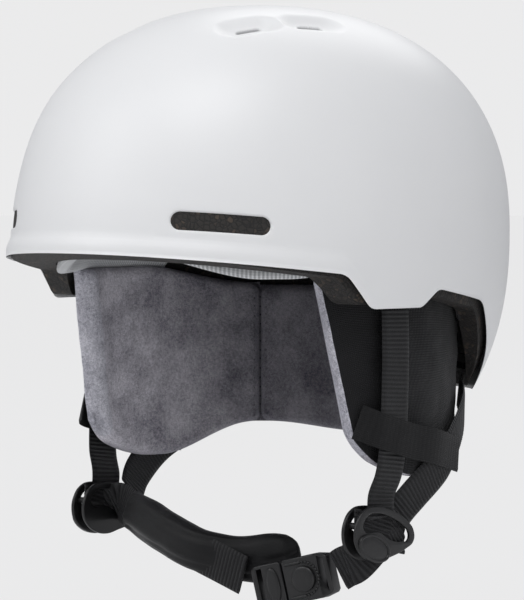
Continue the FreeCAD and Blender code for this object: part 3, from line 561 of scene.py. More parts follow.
def shellOpenings():
    # each slot and slit: its middle, its long way, its outward way and its size
    turn = math.radians(shell["slotTurn"])
    lift = liftWhere(turn, lambda p: p.z < shell["slotHeight"])
    point, out = outwardAt(turn, lift)
    level = Vector((out.y, -out.x, 0)).normalized()
    slope = math.radians(shell["slotSlope"])
    way = level * math.cos(slope) + Vector((0, 0, math.sin(slope)))
    way = (way - out * way.dot(out)).normalized()
    found = [("slot", point, way, out, shell["slot"])]
    for x, y, splay in shell["scoops"]:
        turn = math.atan2(x, -y)
        reach = math.hypot(x, y)
        low, high = math.radians(10), math.radians(89)
        for _ in range(40):
            middle = 0.5 * (low + high)
            p = shellPoint(turn, middle)
            if math.hypot(p.x, p.y) > reach:
                low = middle
            else:
                high = middle
        point, out = outwardAt(turn, low)
        way = Vector((math.sin(math.radians(splay)), math.cos(math.radians(splay)), 0))
        way = (way - out * way.dot(out)).normalized()
        found.append(("scoop", point, way, out, shell["slit"]))
    flip = Vector((-1, 1, 1))
    return found + [(kind, p * flip, w * flip, o * flip, s) for kind, p, w, o, s in found]


def brimInset(point, above):
    # the dome stands a little behind the brim's lip at the front
    turn = abs(math.atan2(point.x, -point.y))
    front = 1.0 - smooth((math.degrees(turn) - 28.0) / 62.0)
    return shell["brimInset"] * front * smooth((above - 3.5) / 7.0) * (1.0 - smooth((above - 30.0) / 62.0))


def scoopInset(point, openings):
    deepest = 0.0
    for kind, middle, way, out, _ in openings:
        if kind != "scoop" or (point - middle).length > 26:
            continue
        side = out.cross(way)
        a, b = (point - middle).dot(way), (point - middle).dot(side)
        r = math.hypot(max(0.0, abs(a) - 0.5 * shell["scoopLength"]), b)
        edge = math.sqrt(shell["scoopBall"] ** 2 - (shell["scoopBall"] - shell["scoopDepth"]) ** 2)
        x = r / (edge * 1.28)
        if x < 1:
            deepest = max(deepest, shell["scoopDepth"] * (1 - x * x) ** 1.7)
    return deepest


def makeShell():
    openings = shellOpenings()
    columns, rows = shell["columns"], shell["rows"]
    net = bmesh.new()
    heights = net.verts.layers.float.new("above")
    grid = []
    for j in range(columns):
        turn = 2 * math.pi * j / columns
        low = liftWhere(turn, lambda p: p.z < heightAt(shellEdge, p.y))
        column = []
        travelled = 0.0
        for i in range(rows):
            lift = mix(low, math.pi / 2, i / rows)
            vertex = net.verts.new(shellPoint(turn, lift))
            if column:
                travelled += (vertex.co - column[-1].co).length
            vertex[heights] = travelled
            column.append(vertex)
        grid.append(column)
    top = net.verts.new(Vector((0, 0, form["crown"])))
    top[heights] = 150.0
    for j in range(columns):
        here, there = grid[j], grid[(j + 1) % columns]
        for i in range(rows - 1):
            net.faces.new((here[i], there[i], there[i + 1], here[i + 1]))
        net.faces.new((here[-1], there[-1], top))
    bmesh.ops.recalc_face_normals(net, faces=net.faces)

    def near(point):
        for kind, middle, way, out, _ in openings:
            if (point - middle).dot(out) < -14:
                continue
            a, b = (point - middle).dot(way), (point - middle).dot(out.cross(way))
            reach = (32.0, 9.0) if kind == "slot" else (21.0, 14.0)
            if abs(a) < reach[0] and abs(b) < reach[1]:
                return True
        return False

    edges = [e for e in net.edges if near(0.5 * (e.verts[0].co + e.verts[1].co))]
    bmesh.ops.subdivide_edges(net, edges=edges, cuts=2, use_grid_fill=True)
    net.normal_update()
    ways = {v: v.normal.copy() for v in net.verts}
    for v in net.verts:
        depth = brimInset(v.co, v[heights]) + scoopInset(v.co, openings)
        if depth:
            v.co -= ways[v] * depth

    rims = []
    for kind, middle, way, out, (length, width) in openings:
        side = out.cross(way)
        wide = (length + 2 * shell["rim"], width + 2 * shell["rim"])

        def local(point):
            return (point - middle).dot(way), (point - middle).dot(side)

        inside = [v for v in net.verts if (v.co - middle).length < length and (v.co - middle).dot(out) > -14
                  and pillDistance(*local(v.co), *wide) < 0]
        around = {v for w in inside for f in w.link_faces for v in f.verts} - set(inside)
        bmesh.ops.delete(net, geom=inside, context="VERTS")
        for v in around:
            if not v.is_valid or not v.is_boundary:
                continue
            a, b = local(v.co)
            core = pillCore(a, *wide)
            reach = math.hypot(a - core, b)
            pull = 0.5 * wide[1] / reach
            v.co += way * ((a - core) * (pull - 1)) + side * (b * (pull - 1))
        ring = [e for e in net.edges if e.is_boundary and (e.verts[0].co - middle).length < length
                and abs((e.verts[0].co - middle).dot(out)) < 10
                and pillDistance(*local(e.verts[0].co), *wide) < 2]
        rims.append((ring, middle, way, side, out, wide))

    for ring, middle, way, side, out, wide in rims:
        for step in range(7):
            made = bmesh.ops.extrude_edge_only(net, edges=ring)
            fresh = [g for g in made["geom"] if isinstance(g, bmesh.types.BMVert)]
            ring = [g for g in made["geom"] if isinstance(g, bmesh.types.BMEdge) and g.is_boundary]
            turn0, turn1 = (math.radians(18 * min(5, step + k)) for k in (0, 1))
            inward = shell["rim"] * (math.sin(turn1) - math.sin(turn0))
            down = shell["rim"] * (math.cos(turn0) - math.cos(turn1)) if step < 5 else 1.3
            for v in fresh:
                a, b = (v.co - middle).dot(way), (v.co - middle).dot(side)
                core = pillCore(a, *wide)
                reach = max(1e-6, math.hypot(a - core, b))
                v.co -= (way * ((a - core) / reach) + side * (b / reach)) * inward + out * down

    edge = [e for e in net.edges if e.is_boundary and abs(e.verts[0][heights]) < 1e-6
            and abs(e.verts[1][heights]) < 1e-6 and e.verts[0].co.z < 10]
    for step in range(shell["edgeSteps"] + 1):
        outs = {}
        for e in edge:
            along = e.verts[1].co - e.verts[0].co
            if along.length > 60:
                continue
            turn = math.atan2(e.verts[0].co.x, -e.verts[0].co.y)
            if along.dot(Vector((math.cos(turn), math.sin(turn), 0))) < 0:
                along = -along
            for v in e.verts:
                outs.setdefault(v, []).append(along.normalized())
        base = {}
        for v, alongs in outs.items():
            turn = math.atan2(v.co.x, -v.co.y)
            lift = liftWhere(turn, lambda p: p.z < v.co.z)
            out = outwardAt(turn, lift)[1]
            base[v] = (out, sum(alongs, Vector()).cross(out).normalized())
        made = bmesh.ops.extrude_edge_only(net, edges=edge)
        link = {}
        for g in made["geom"]:
            if isinstance(g, bmesh.types.BMEdge) and not g.is_boundary:
                pair = [v for v in g.verts if v in base]
                if len(pair) == 1:
                    link[g.other_vert(pair[0])] = base[pair[0]]
        edge = [g for g in made["geom"] if isinstance(g, bmesh.types.BMEdge) and g.is_boundary]
        if step < shell["edgeSteps"]:
            a0, a1 = (math.pi * (step + k) / shell["edgeSteps"] for k in (0, 1))
            inward = shell["lip"] * (math.cos(a0) - math.cos(a1))
            down = shell["lip"] * (math.sin(a1) - math.sin(a0))
        else:
            inward, down = 0.3, -shell["tuckUp"]
        for v, (out, below) in link.items():
            v.co += below * down - out * inward
    for v in net.verts:
        v.co *= mm
    mesh = bpy.data.meshes.new("shell")
    net.to_mesh(mesh)
    net.free()
    mesh.polygons.foreach_set("use_smooth", [True] * len(mesh.polygons))
    piece = bpy.data.objects.new("shell", mesh)
    bpy.context.scene.collection.objects.link(piece)
    mesh.materials.append(materials["shell_white"])
    fixNormals(piece)
    dress(piece, "helmet", ["outer_shell"])


makeShell()
print("stage: shell")


pads = {"thick": 11.4, "seam": 137.4, "bottomRound": 15.0, "ear": (134.0, 104.0), "nape": (146.0, 76.0),
        "border": 6.0, "sheetRound": (1.8, 6.5), "fill": 0.7}
flapBend = {"axis": Vector((0.2859, -0.8681, 0.4057)), "point": Vector((96.3, -12.0, -29.0)), "middle": 22.0,
            "before": 4.0, "after": 34.0}


def borderSpacing(length, radius, step, steps=6):
    # places along a length in millimetres, crowded where an edge rounds over
    edge = [radius * (1 - math.cos(math.pi / 2 * k / steps)) for k in range(steps)]
    count = max(4, int((length - 2 * radius) / step))
    inner = [mix(radius, length - radius, k / count) for k in range(count + 1)]
    return [d / length for d in edge + inner + [length - e for e in reversed(edge)]]


def ripple(a, b, seed):
    # smooth even-handed waviness between -1 and 1
    rng = random.Random(seed)
    total = 0.0
    for k in range(5):
        pitch = rng.uniform(0.05, 0.22) * (1 + 0.5 * k)
        heading = rng.uniform(0, math.pi)
        phase = (a * math.cos(heading) + b * math.sin(heading)) * pitch + rng.uniform(0, 6.3)
        total += math.sin(phase) / (1 + 0.6 * k)
    return total / 2.4


def padPiece(name, placeAt, us, vs, length, height, thick, inMaterial, outMaterial, sheetRound, seed,
             crown=0.8, wrinkle=0.35):
    # closed pad: placeAt(u, v, depth) is a point behind the outer face; both faces share their border
    rows, columns = len(vs), len(us)
    points, flat = [], []
    for face in (0, 1):
        for v in vs:
            for u in us:
                du = min(u, 1 - u) * length
                dv = min(v, 1 - v) * height
                radius = sheetRound[face]
                gap = math.hypot(max(0.0, 1 - du / radius), max(0.0, 1 - dv / radius))
                level = (1 - min(1.0, gap) ** 2.4) ** (1 / 2.4)
                middle = 0.38 * thick
                waves = ripple(u * length, v * height, seed + face) * wrinkle * level
                if face == 0:
                    sharp = abs(ripple(u * length * 0.8 + 9, v * height * 1.6, seed + 5)) ** 0.7
                    depth = middle * (1 - level) - waves + (0.9 - 1.3 * sharp) * wrinkle * level
                else:
                    swell = crown * math.sin(math.pi * u) * math.sin(math.pi * v)
                    depth = middle + (thick - middle + swell) * level + waves
                points.append(placeAt(u, v, depth))
                flat.append((u * length, v * height))
    faces, kinds = [], []
    for face in (0, 1):
        for i in range(rows - 1):
            for j in range(columns - 1):
                a = face * rows * columns + i * columns + j
                quad = (a, a + 1, a + columns + 1, a + columns)
                faces.append(quad if face else quad[::-1])
                kinds.append(face)
    piece = makePiece(name, points, faces, inMaterial, flat=flat)
    piece.data.materials.append(outMaterial)
    for polygon, kind in zip(piece.data.polygons, kinds):
        u0 = flat[polygon.vertices[0]]
        border = min(u0[0], length - u0[0], u0[1], height - u0[1])
        polygon.material_index = 0 if kind or border < sheetRound[0] * 0.8 else 1
    fixNormals(piece, 0.02)
    return piece


def padBottom(turn):
    degrees = math.degrees(turn)
    if degrees < 92:
        return -112.0 + 9.0 * ((92.0 - degrees) / 25.0) ** 2
    return -112.0 + 16.0 * smooth((degrees - 96.0) / 40.0) - 4.0 * smooth((degrees - 140.0) / 30.0)


def earTop(turn):
    degrees = math.degrees(turn)
    return -13.0 - 9.5 * smooth((degrees - 95.0) / 40.0)


def earPlace(side):
    seam = math.radians(pads["seam"])

    def placeAt(u, v, depth):
        plain = math.radians(60.0) + (seam - math.radians(60.0)) * u
        low = padBottom(plain) + 7.0 * max(0.0, 1 - u * 130 / pads["bottomRound"]) ** 2
        z = mix(low, earTop(plain), v)
        front = math.radians(55.0 - 0.145 * z)
        turn = mix(front, seam, u)
        point = polar(turn, padRadius(turn, z) - depth, z)
        return Vector((side * point.x, point.y, point.z))

    return placeAt


def napePlace(u, v, depth):
    seam = math.radians(pads["seam"])
    turn = mix(seam, 2 * math.pi - seam, u)
    mirror = min(turn, 2 * math.pi - turn)
    z = mix(padBottom(mirror), -24.0, v)
    return polar(turn, padRadius(mirror, z) - depth, z)


def bendWithFlap(piece, side):
    # works out a point on the ear flap's hinge, then only bakes the pad's transform into its points; the pad is
    # not bent
    axis, point = flapBend["axis"], flapBend["point"]
    point = point + axis * ((flapBend["middle"] - point.y) / axis.y)
    point.x *= side
    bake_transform(piece)


def makeEarPads():
    length, height = pads["ear"]
    us = borderSpacing(length, pads["border"], 2.2)
    vs = borderSpacing(height, pads["border"], 2.2)
    for side, word in ((1, "left"), (-1, "right")):
        piece = padPiece(word + "EarPad", earPlace(side), us, vs, length, height, pads["thick"],
                         materials["plush_grey"], materials["knit_black"], pads["sheetRound"], 21 + side)
        piece.data.materials.append(plushEdge)
        for polygon in piece.data.polygons:
            centre = polygon.center / mm
            turn = math.degrees(math.atan2(abs(centre.x), -centre.y))
            ahead = (turn - (55.0 - 0.145 * centre.z)) * 1.75
            if polygon.material_index == 0 and ahead < 6.5:
                polygon.material_index = 2
        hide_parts(word + "_ear_pad_cover", word + "_ear_pad_foam", word + "_ear_pad_lining")
        bendWithFlap(piece, side)


def makeNapePad():
    length, height = pads["nape"]
    us = borderSpacing(length, pads["border"], 2.4)
    vs = borderSpacing(height, pads["border"], 2.4)
    piece = padPiece("napePad", napePlace, us, vs, length, height, pads["thick"], materials["plush_grey"],
                     materials["knit_black"], pads["sheetRound"], 40)
    dress(piece, "helmet", ["nape_pad_cover", "nape_pad_foam", "nape_pad_lining"])


def makeBrowPad():
    settings = {"turn": 104.0, "top": 24.0, "inset": 0.6, "thick": 7.4, "length": 346.0, "height": 39.0}

    def placeAt(u, v, depth):
        turn = math.radians(mix(-settings["turn"], settings["turn"], u))
        degrees = abs(math.degrees(turn))
        low = -4.0 - 11.0 * smooth((degrees - 8.0) / 34.0) + 0.8 * smooth((degrees - 50.0) / 8.0)
        z = mix(low, settings["top"], v)
        return polar(turn, hollowRadius(turn, z, settings["inset"] + depth), z)

    us = borderSpacing(settings["length"], 3.5, 2.0)
    vs = borderSpacing(settings["height"], 3.5, 1.6)
    piece = padPiece("browPad", placeAt, us, vs, settings["length"], settings["height"], settings["thick"],
                     materials["knit_light"], materials["knit_light"], (3.4, 3.6), 60, crown=0.6,
                     wrinkle=0.25)
    dress(piece, "helmet", ["brow_pad"])


def makeCrownPads():
    shapes = (("crownPadMiddle", (0.0, 4.0), (20.0, 70.0)), ("crownPadLeft", (44.5, 29.0), (17.5, 31.0)),
              ("crownPadRight", (-44.5, 29.0), (17.5, 31.0)))
    for name, (x0, y0), (halfX, halfY) in shapes:

        def placeAt(u, v, depth):
            a, b = 2 * u - 1, 2 * v - 1
            corner = 1 - 0.10 * a * a * b * b
            x, y = x0 + halfX * a * corner, y0 + halfY * b * corner
            turn = math.atan2(x, -y)
            reach = math.hypot(x, y)
            share = min(1.0, reach / (hollowRadius(turn, form["hollowMiddle"], 1.0 + depth)))
            height = form["hollowTop"] - 1.0 - depth - form["hollowMiddle"]
            z = form["hollowMiddle"] + height * (1 - share ** form["profile"]) ** (1 / form["profile"])
            return Vector((x, y, max(z, 42.0)))

        length, height = 2 * halfX, 2 * halfY
        us, vs = borderSpacing(length, 4.0, 2.2), borderSpacing(height, 4.0, 2.2)
        piece = padPiece(name, placeAt, us, vs, length, height, 6.2, materials["plush_grey"],
                         materials["knit_black"], (2.0, 4.5), 80 + int(x0), wrinkle=0.2)
        dress(piece, "helmet", ["crown_pads"] if name == "crownPadMiddle" else ())


def makeSeams():
    # hand-like stitches that draw the ear and nape pads together down each side
    settings = {"low": -92.0, "high": -30.0, "pitch": 4.6, "reach": 3.6, "radius": 0.5}
    for side, word in ((1, "left"), (-1, "right")):
        curve = bpy.data.curves.new(word + "SeamStitches", "CURVE")
        curve.dimensions = "3D"
        curve.bevel_depth = settings["radius"] * mm
        curve.bevel_resolution = 2
        rng = random.Random(7 + side)
        z = settings["low"]
        while z < settings["high"]:
            seam = math.radians(pads["seam"])
            spline = curve.splines.new("POLY")
            spline.points.add(6)
            lean = rng.uniform(-0.5, 0.9)
            for k in range(7):
                t = k / 6 * 2 - 1
                turn = seam + t * settings["reach"] / 88.0
                rise = z + lean * t
                depth = pads["thick"] - 5.6 * (1 - abs(t) ** 1.6) + 0.5 - 0.6 * (abs(t) > 0.9)
                point = polar(turn, padRadius(turn, rise) - depth, rise)
                spline.points[k].co = (side * point.x * mm, point.y * mm, point.z * mm, 1)
            z += settings["pitch"] * rng.uniform(0.85, 1.15)
        stitches = bpy.data.objects.new(word + "SeamStitches", curve)
        bpy.context.scene.collection.objects.link(stitches)
        curve.materials.append(seamThread)
        dress(stitches, "helmet")


seamThread = plasticFinish("seamThread", (0.07, 0.068, 0.08), 0.8, 0.95)
makeEarPads()
makeNapePad()
makeBrowPad()
makeCrownPads()
makeSeams()
print("stage: pads")


def spread(points, u):
    # point at u on a smooth curve through the given points
    span = u * (len(points) - 1)
    i = min(int(span), len(points) - 2)
    f = span - i
    p1, p2 = points[i], points[i + 1]
    p0 = points[i - 1] if i > 0 else p1 * 2 - p2
    p3 = points[i + 2] if i + 2 < len(points) else p2 * 2 - p1
    return (p1 * 2 + (p2 - p0) * f + (p0 * 2 - p1 * 5 + p2 * 4 - p3) * f * f
            + (p1 * 3 - p0 - p2 * 3 + p3) * f ** 3) * 0.5


def strapFrames(route, looks, count):
    frames, travelled, before = [], 0.0, None
    for i in range(count):
        u = i / (count - 1)
        here = spread(route, u)
        ahead = (spread(route, min(1.0, u + 0.01)) - spread(route, max(0.0, u - 0.01))).normalized()
        edge = ahead.cross(spread(looks, u)).normalized()
        if before:
            travelled += (here - before).length
        before = here
        frames.append((here, ahead, edge, edge.cross(ahead).normalized(), travelled))
    return frames


def bandPiece(name, route, looks, width, thick, material, body, replaces=(), ribPitch=2.1,
              ribHeight=0.42, wave=0.0, seed=1, side=1, step=0.5):
    # flat woven band: crosswise ribs are real, the yarns are in its material
    route = [Vector(p) for p in route]
    looks = [Vector(p) for p in looks]
    rough = strapFrames(route, looks, 40)[-1][4]
    frames = strapFrames(route, looks, max(12, int(rough / step)))
    across = 13
    rng = random.Random(seed)
    phase = rng.uniform(0, 6.28)
    points, flat = [], []
    for here, ahead, edge, face, s in frames:
        rib = math.sin(2 * math.pi * s / ribPitch)
        lines = []
        for level in (1, -1):
            for k in range(across):
                t = 2 * k / (across - 1) - 1 if level > 0 else 1 - 2 * k / (across - 1)
                selvage = smooth((abs(t) - 0.80) / 0.12)
                shape = (1 - max(0.0, (abs(t) - 0.93) / 0.07) ** 2) ** 0.5
                height = 0.5 * thick * shape + ribHeight * (0.5 * rib + 0.5) * (1 - selvage) - 0.12
                height += 0.1 * selvage * (1 + math.sin(2 * math.pi * s / 1.3)) * shape
                wander = wave * math.sin(s * 0.11 + phase) * t + wave * 0.6 * math.sin(s * 0.23 + 2 * phase)
                point = here + edge * (t * 0.5 * width) + face * (level * max(0.0, height) + wander)
                lines.append((point, (s, (t + 1) * 0.5 * width)))
        for point, spot in lines:
            points.append(Vector((side * point.x, point.y, point.z)))
            flat.append(spot)
    ring = 2 * across
    faces = cappedTube(len(frames), ring)
    piece = makePiece(name, points, faces, material, flat=flat)
    fixNormals(piece)
    sharpen(piece, 50)
    if body:
        dress(piece, body, replaces)
    return piece


def onPad(degrees, z, lift):
    turn = math.radians(degrees)
    return polar(turn, padRadius(turn, z) + lift, z)


def away(degrees):
    turn = math.radians(degrees)
    return Vector((math.sin(turn), -math.cos(turn), 0))


web = {"width": 20.0, "thick": 1.4, "keeper": 17.0, "keeperThick": 1.0,
       "divider": Vector((91.0, -18.0, -137.0))}
dividerX = web["divider"].x
frontRoute = [(96.3, -12.0, -30.6), (97.2, -12.6, -52.0), (97.8, -14.0, -76.0), (97.4, -15.0, -96.0),
              (96.0, -16.4, -109.0), (dividerX + 1.6, -17.6, -119.0), (dividerX + 1.6, -18.0, -128.0),
              (dividerX + 1.6, -18.0, -130.0)]
rearRoute = [onPad(140.5, -75.0, 3.8), onPad(130.0, -84.0, 3.8), onPad(117.0, -95.0, 3.8),
             onPad(105.0, -106.5, 3.4), (93.0, 7.0, -120.0), (dividerX - 1.6, -2.0, -129.5)]
keeperRoute = [onPad(69.5, -83.0, 2.2), (98.6, -28.0, -86.4), (99.7, -15.0, -90.2), (99.7, -3.0, -93.6),
               onPad(100.0, -97.8, 5.8), onPad(114.0, -103.5, 6.4)]
strapWay = Vector((-0.95, -0.19, -0.25)).normalized()
buckleStart = Vector((72.0, -28.0, -156.5))
buckleFace = Vector((0.19, -0.98, 0)).normalized()
lowerRoute = [(84.2, -26.6, -150.5), (78.2, -27.2, -153.6), buckleStart - strapWay * 2.6]
chinRoute = [(-80.0, -19.0, -134.0), (-65.0, -25.5, -137.0), (-49.0, -30.0, -140.5), (-30.0, -34.5, -145.5),
             (-12.0, -37.5, -151.0), (5.0, -38.4, -156.0), (21.5, -37.6, -161.5)]
chinLooks = [(0.5, -0.86, 0), (0.45, -0.9, 0), (0.38, -0.92, 0), (0.3, -0.95, 0), (0.15, -0.98, 0),
             (0.0, -1.0, 0), (-0.05, -1.0, 0)]

for side, word in ((1, "left"), (-1, "right")):
    flap = word + "_flap"
    bandPiece(word + "FrontWeb", frontRoute, [(1, 0, 0)] * len(frontRoute), web["width"], web["thick"],
              materials["web_black"], flap, [word + "_front_strap"], side=side, seed=3)
    bandPiece(word + "RearWeb", rearRoute,
              [away(140), away(130), away(117), away(105), (1, 0.1, 0), (1, 0, 0)],
              web["width"], web["thick"], materials["web_black"], flap, [word + "_rear_strap"], side=side, seed=4)
    bandPiece(word + "KeeperBand", keeperRoute,
              [away(69.5), away(80), away(90), away(91), away(100), away(114)], web["keeper"],
              web["keeperThick"], materials["elastic_black"], flap,
              [word + "_elastic_keeper"], ribPitch=1.1, ribHeight=0.05, side=side, seed=5, wave=0.15)
bandPiece("leftLowerWeb", [(90.6, -20.5, -141.0)] + lowerRoute,
          [(0.8, -0.6, 0), (0.55, -0.8, 0), (0.4, -0.9, 0), buckleFace], web["width"], web["thick"],
          materials["web_black"], "left_flap", ["left_lower_strap"], seed=6)
chinWeb = bandPiece("chinWeb", [(-90.8, -17.6, -136.5), (-86.0, -18.0, -135.0)] + chinRoute,
                    [(0.95, -0.3, 0), (0.75, -0.66, 0)] + chinLooks, web["width"], web["thick"],
                    materials["web_black"], None, seed=7)
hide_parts("chin_webbing")
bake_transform(chinWeb)


def backPoint(z, lift):
    low = liftWhere(math.pi, lambda p: p.z < z)
    point, out = outwardAt(math.pi, low)
    return point + out * lift, out


clipRoute = [backPoint(z, 3.6) for z in (22.5, 14.0, 4.0, -6.0, -16.0, -25.0, -31.5)]
bandPiece("goggleClipBand", [p for p, _ in clipRoute], [o for _, o in clipRoute], 20.0, 2.0,
          materials["elastic_black"], "goggle_clip", ["goggle_clip_strap"], ribPitch=1.6,
          ribHeight=0.12, seed=8)
print("stage: straps")


def makeSleeve():
    settings = {"start": 0.085, "end": 1.0, "tall": 10.6, "deep": 6.4, "rows": 170, "around": 64}
    route = [Vector(p) for p in chinRoute[:4]] + [Vector(p) for p in (
        (-13.0, -36.5, -150.5), (2.0, -33.5, -153.5), (16.0, -28.0, -154.5), (30.0, -22.5, -153.0),
        (42.0, -19.0, -149.5))]
    looks = [Vector(p) for p in chinLooks[:4]] + [Vector(p) for p in (
        (0.15, -0.98, 0), (0.25, -0.96, 0), (0.34, -0.94, 0), (0.3, -0.95, 0), (0.25, -0.96, 0))]
    rng = random.Random(19)
    folds = [(rng.uniform(-2.6, 2.6), rng.uniform(0.0, 0.9), rng.uniform(0.12, 0.34), rng.uniform(-0.9, 0.9))
             for _ in range(26)]
    points, flat = [], []
    travelled, before = 0.0, None
    for i in range(settings["rows"]):
        w = i / (settings["rows"] - 1)
        u = min(1.0, mix(settings["start"], settings["end"], w))
        here = spread(route, u)
        ahead = (spread(route, min(1.0, u + 0.01)) - spread(route, max(0.0, u - 0.01))).normalized()
        edge = ahead.cross(spread(looks, u)).normalized()
        face = edge.cross(ahead).normalized()
        travelled += (here - before).length if before else 0.0
        before = here
        fill = 0.5 + 0.5 * smooth(w / 0.2) * smooth((1.0 - w) / 0.07)
        closing = (0.55 + 0.45 * (1 - max(0.0, 1 - w / 0.025) ** 2) ** 0.5) * (
            0.22 + 0.78 * (1 - max(0.0, 1 - (1 - w) / 0.13) ** 2.2) ** 0.5)
        closing *= 1.0 + 0.14 * math.exp(-((w - 0.8) / 0.1) ** 2)
        tall = settings["tall"] * (0.84 + 0.16 * fill) * closing
        deep = settings["deep"] * fill * closing
        for j in range(settings["around"]):
            angle = 2 * math.pi * j / settings["around"]
            c, s = math.cos(angle), math.sin(angle)
            squareness = (abs(c) ** 2.5 + abs(s) ** 2.5) ** (-1 / 2.5)
            crease = 0.0
            for around, along, reach, lean in folds:
                turn = (angle - around - lean * (w - along) + math.pi) % (2 * math.pi) - math.pi
                crease -= math.exp(-(turn / 0.13) ** 2) * math.exp(-((w - along) / reach) ** 2)
                crease += 0.5 * math.exp(-((turn - 0.22) / 0.16) ** 2) * math.exp(-((w - along) / reach) ** 2)
            crease *= 0.55 * smooth(w / 0.05) * smooth((1 - w) / 0.05)
            pucker = 0.22 * math.sin(angle * 17 + 2.0 * math.sin(w * 60)) * (
                math.exp(-(w / 0.07) ** 2) + math.exp(-((1 - w) / 0.06) ** 2))
            lump = 0.35 * ripple(travelled, angle * 9.0, 5)
            grow = 1 + (crease + pucker + lump) / settings["tall"]
            point = here + edge * (tall * c * squareness * grow) + face * (
                (deep * s * squareness) + (crease + pucker + lump) * s)
            points.append(point)
            flat.append((travelled, angle * 9.0))
    faces = cappedTube(settings["rows"], settings["around"])
    piece = makePiece("chinSleeve", points, faces, materials["satin_black"], flat=flat)
    fixNormals(piece)
    dress(piece, "chin_strap", ["chin_pad"])


makeSleeve()
print("stage: sleeve")


def plateFromOutlines(outlines, low, high, bevel, smoothEnds=True):
    # flat moulded plate with rounded edges; the first outline is the border, the others are holes
    curve = bpy.data.curves.new("plate", "CURVE")
    curve.dimensions = "2D"
    curve.fill_mode = "BOTH"
    curve.resolution_u = 10
    for outline in outlines:
        spline = curve.splines.new("BEZIER")
        spline.bezier_points.add(len(outline) - 1)
        for point, (x, y) in zip(spline.bezier_points, outline):
            point.co = (x, y, 0)
            point.handle_left_type = point.handle_right_type = "AUTO" if smoothEnds else "VECTOR"
        spline.use_cyclic_u = True
    curve.extrude = 0.5 * (high - low) - bevel
    curve.bevel_depth = bevel
    curve.bevel_resolution = 3
    curve.offset = -bevel
    plate = bpy.data.objects.new("plate", curve)
    bpy.context.scene.collection.objects.link(plate)
    bpy.context.view_layer.update()
    mesh = bpy.data.meshes.new_from_object(plate.evaluated_get(bpy.context.evaluated_depsgraph_get()))
    bpy.data.objects.remove(plate)
    points = [Vector((v.co.x, v.co.y, v.co.z + 0.5 * (low + high))) for v in mesh.vertices]
    faces = [tuple(p.vertices) for p in mesh.polygons]
    bpy.data.meshes.remove(mesh)
    return points, faces


def joinParts(parts):
    points, faces = [], []
    for partPoints, partFaces in parts:
        start = len(points)
        points += partPoints
        faces += [tuple(start + k for k in face) for face in partFaces]
    return points, faces


def ovalRings(centre, halfX, halfY, degrees, rings, around=72):
    # dome-like solid on an oval: rings are (share of the oval, height) from the outside in
    c, s = math.cos(math.radians(degrees)), math.sin(math.radians(degrees))
    points, faces = [], []
    for share, height in rings:
        for k in range(around):
            a = 2 * math.pi * k / around
            trim = min(halfX, halfY) * (1 - share)
            x, y = (halfX - trim) * math.cos(a), (halfY - trim) * math.sin(a)
            points.append(Vector((centre[0] + x * c - y * s, centre[1] + x * s + y * c, height)))
    faces += gridFaces(len(rings), around, closed=True)
    faces.append(tuple((len(rings) - 1) * around + k for k in range(around)))
    faces.append(tuple(reversed(range(around))))
    return points, faces


dividerParts = {
    "outline": [(-22, -1), (-20.4, 7), (-15.5, 12), (-8, 13.4), (6, 10.4), (16.5, 5), (21.6, -0.6),
                (21.4, -5.4), (16, -8.6), (3, -12), (-5, -13.3), (-13, -11.6), (-19.4, -7)],
    "window": [(-16.2, 3.8), (-12.4, 9.2), (-6.5, 10.0), (4.5, 7.2), (13.2, 2.8), (17.8, -1.4), (17.2, -4.6),
               (12.4, -5.0), (4.5, -3.6), (-4.0, 0.8)],
    "half": 2.8, "plate": 1.9, "posts": ((-17.2, 4.5), (11.5, -7.0)), "postRadius": 1.6,
    "badge": ((-8.8, -6.4), 11.8, 6.4, -20.0), "web": 1.5}


def dividerToRow(points, side):
    centre = web["divider"]
    return [Vector((side * (centre.x + p.z), centre.y + p.x, centre.z + p.y)) for p in points]


def makeDivider(side, word):
    d = dividerParts
    front = plateFromOutlines([d["outline"], d["window"]], d["half"], d["half"] + d["plate"], 0.75)
    rear = plateFromOutlines([d["outline"], d["window"]], -d["half"] - d["plate"], -d["half"], 0.6)
    ends = [(1, -d["half"] - 0.6), (1, d["half"] + 0.6)]
    posts = [ovalRings(post, d["postRadius"], d["postRadius"], 0, ends, 24) for post in d["posts"]]
    top = d["half"] + d["plate"]
    middle, halfX, halfY, lean = d["badge"]
    badge = ovalRings(middle, halfX, halfY, lean, [
        (1.0, top - 1.0), (1.0, top + 0.7), (0.97, top + 1.05), (0.90, top + 1.25), (0.83, top + 1.2),
        (0.79, top + 0.95), (0.76, top + 0.62), (0.70, top + 0.6), (0.62, top + 0.78), (0.45, top + 0.95),
        (0.2, top + 1.05)])
    points, faces = joinParts([front, rear, badge] + posts)
    piece = makePiece(word + "DividerBody", dividerToRow(points, side), faces, materials["plastic_black"])
    fixNormals(piece, 0.01)
    sharpen(piece, 55)
    dress(piece, word + "_divider_slide", [word + "_divider"])
    makeFoldedWeb(side, word)


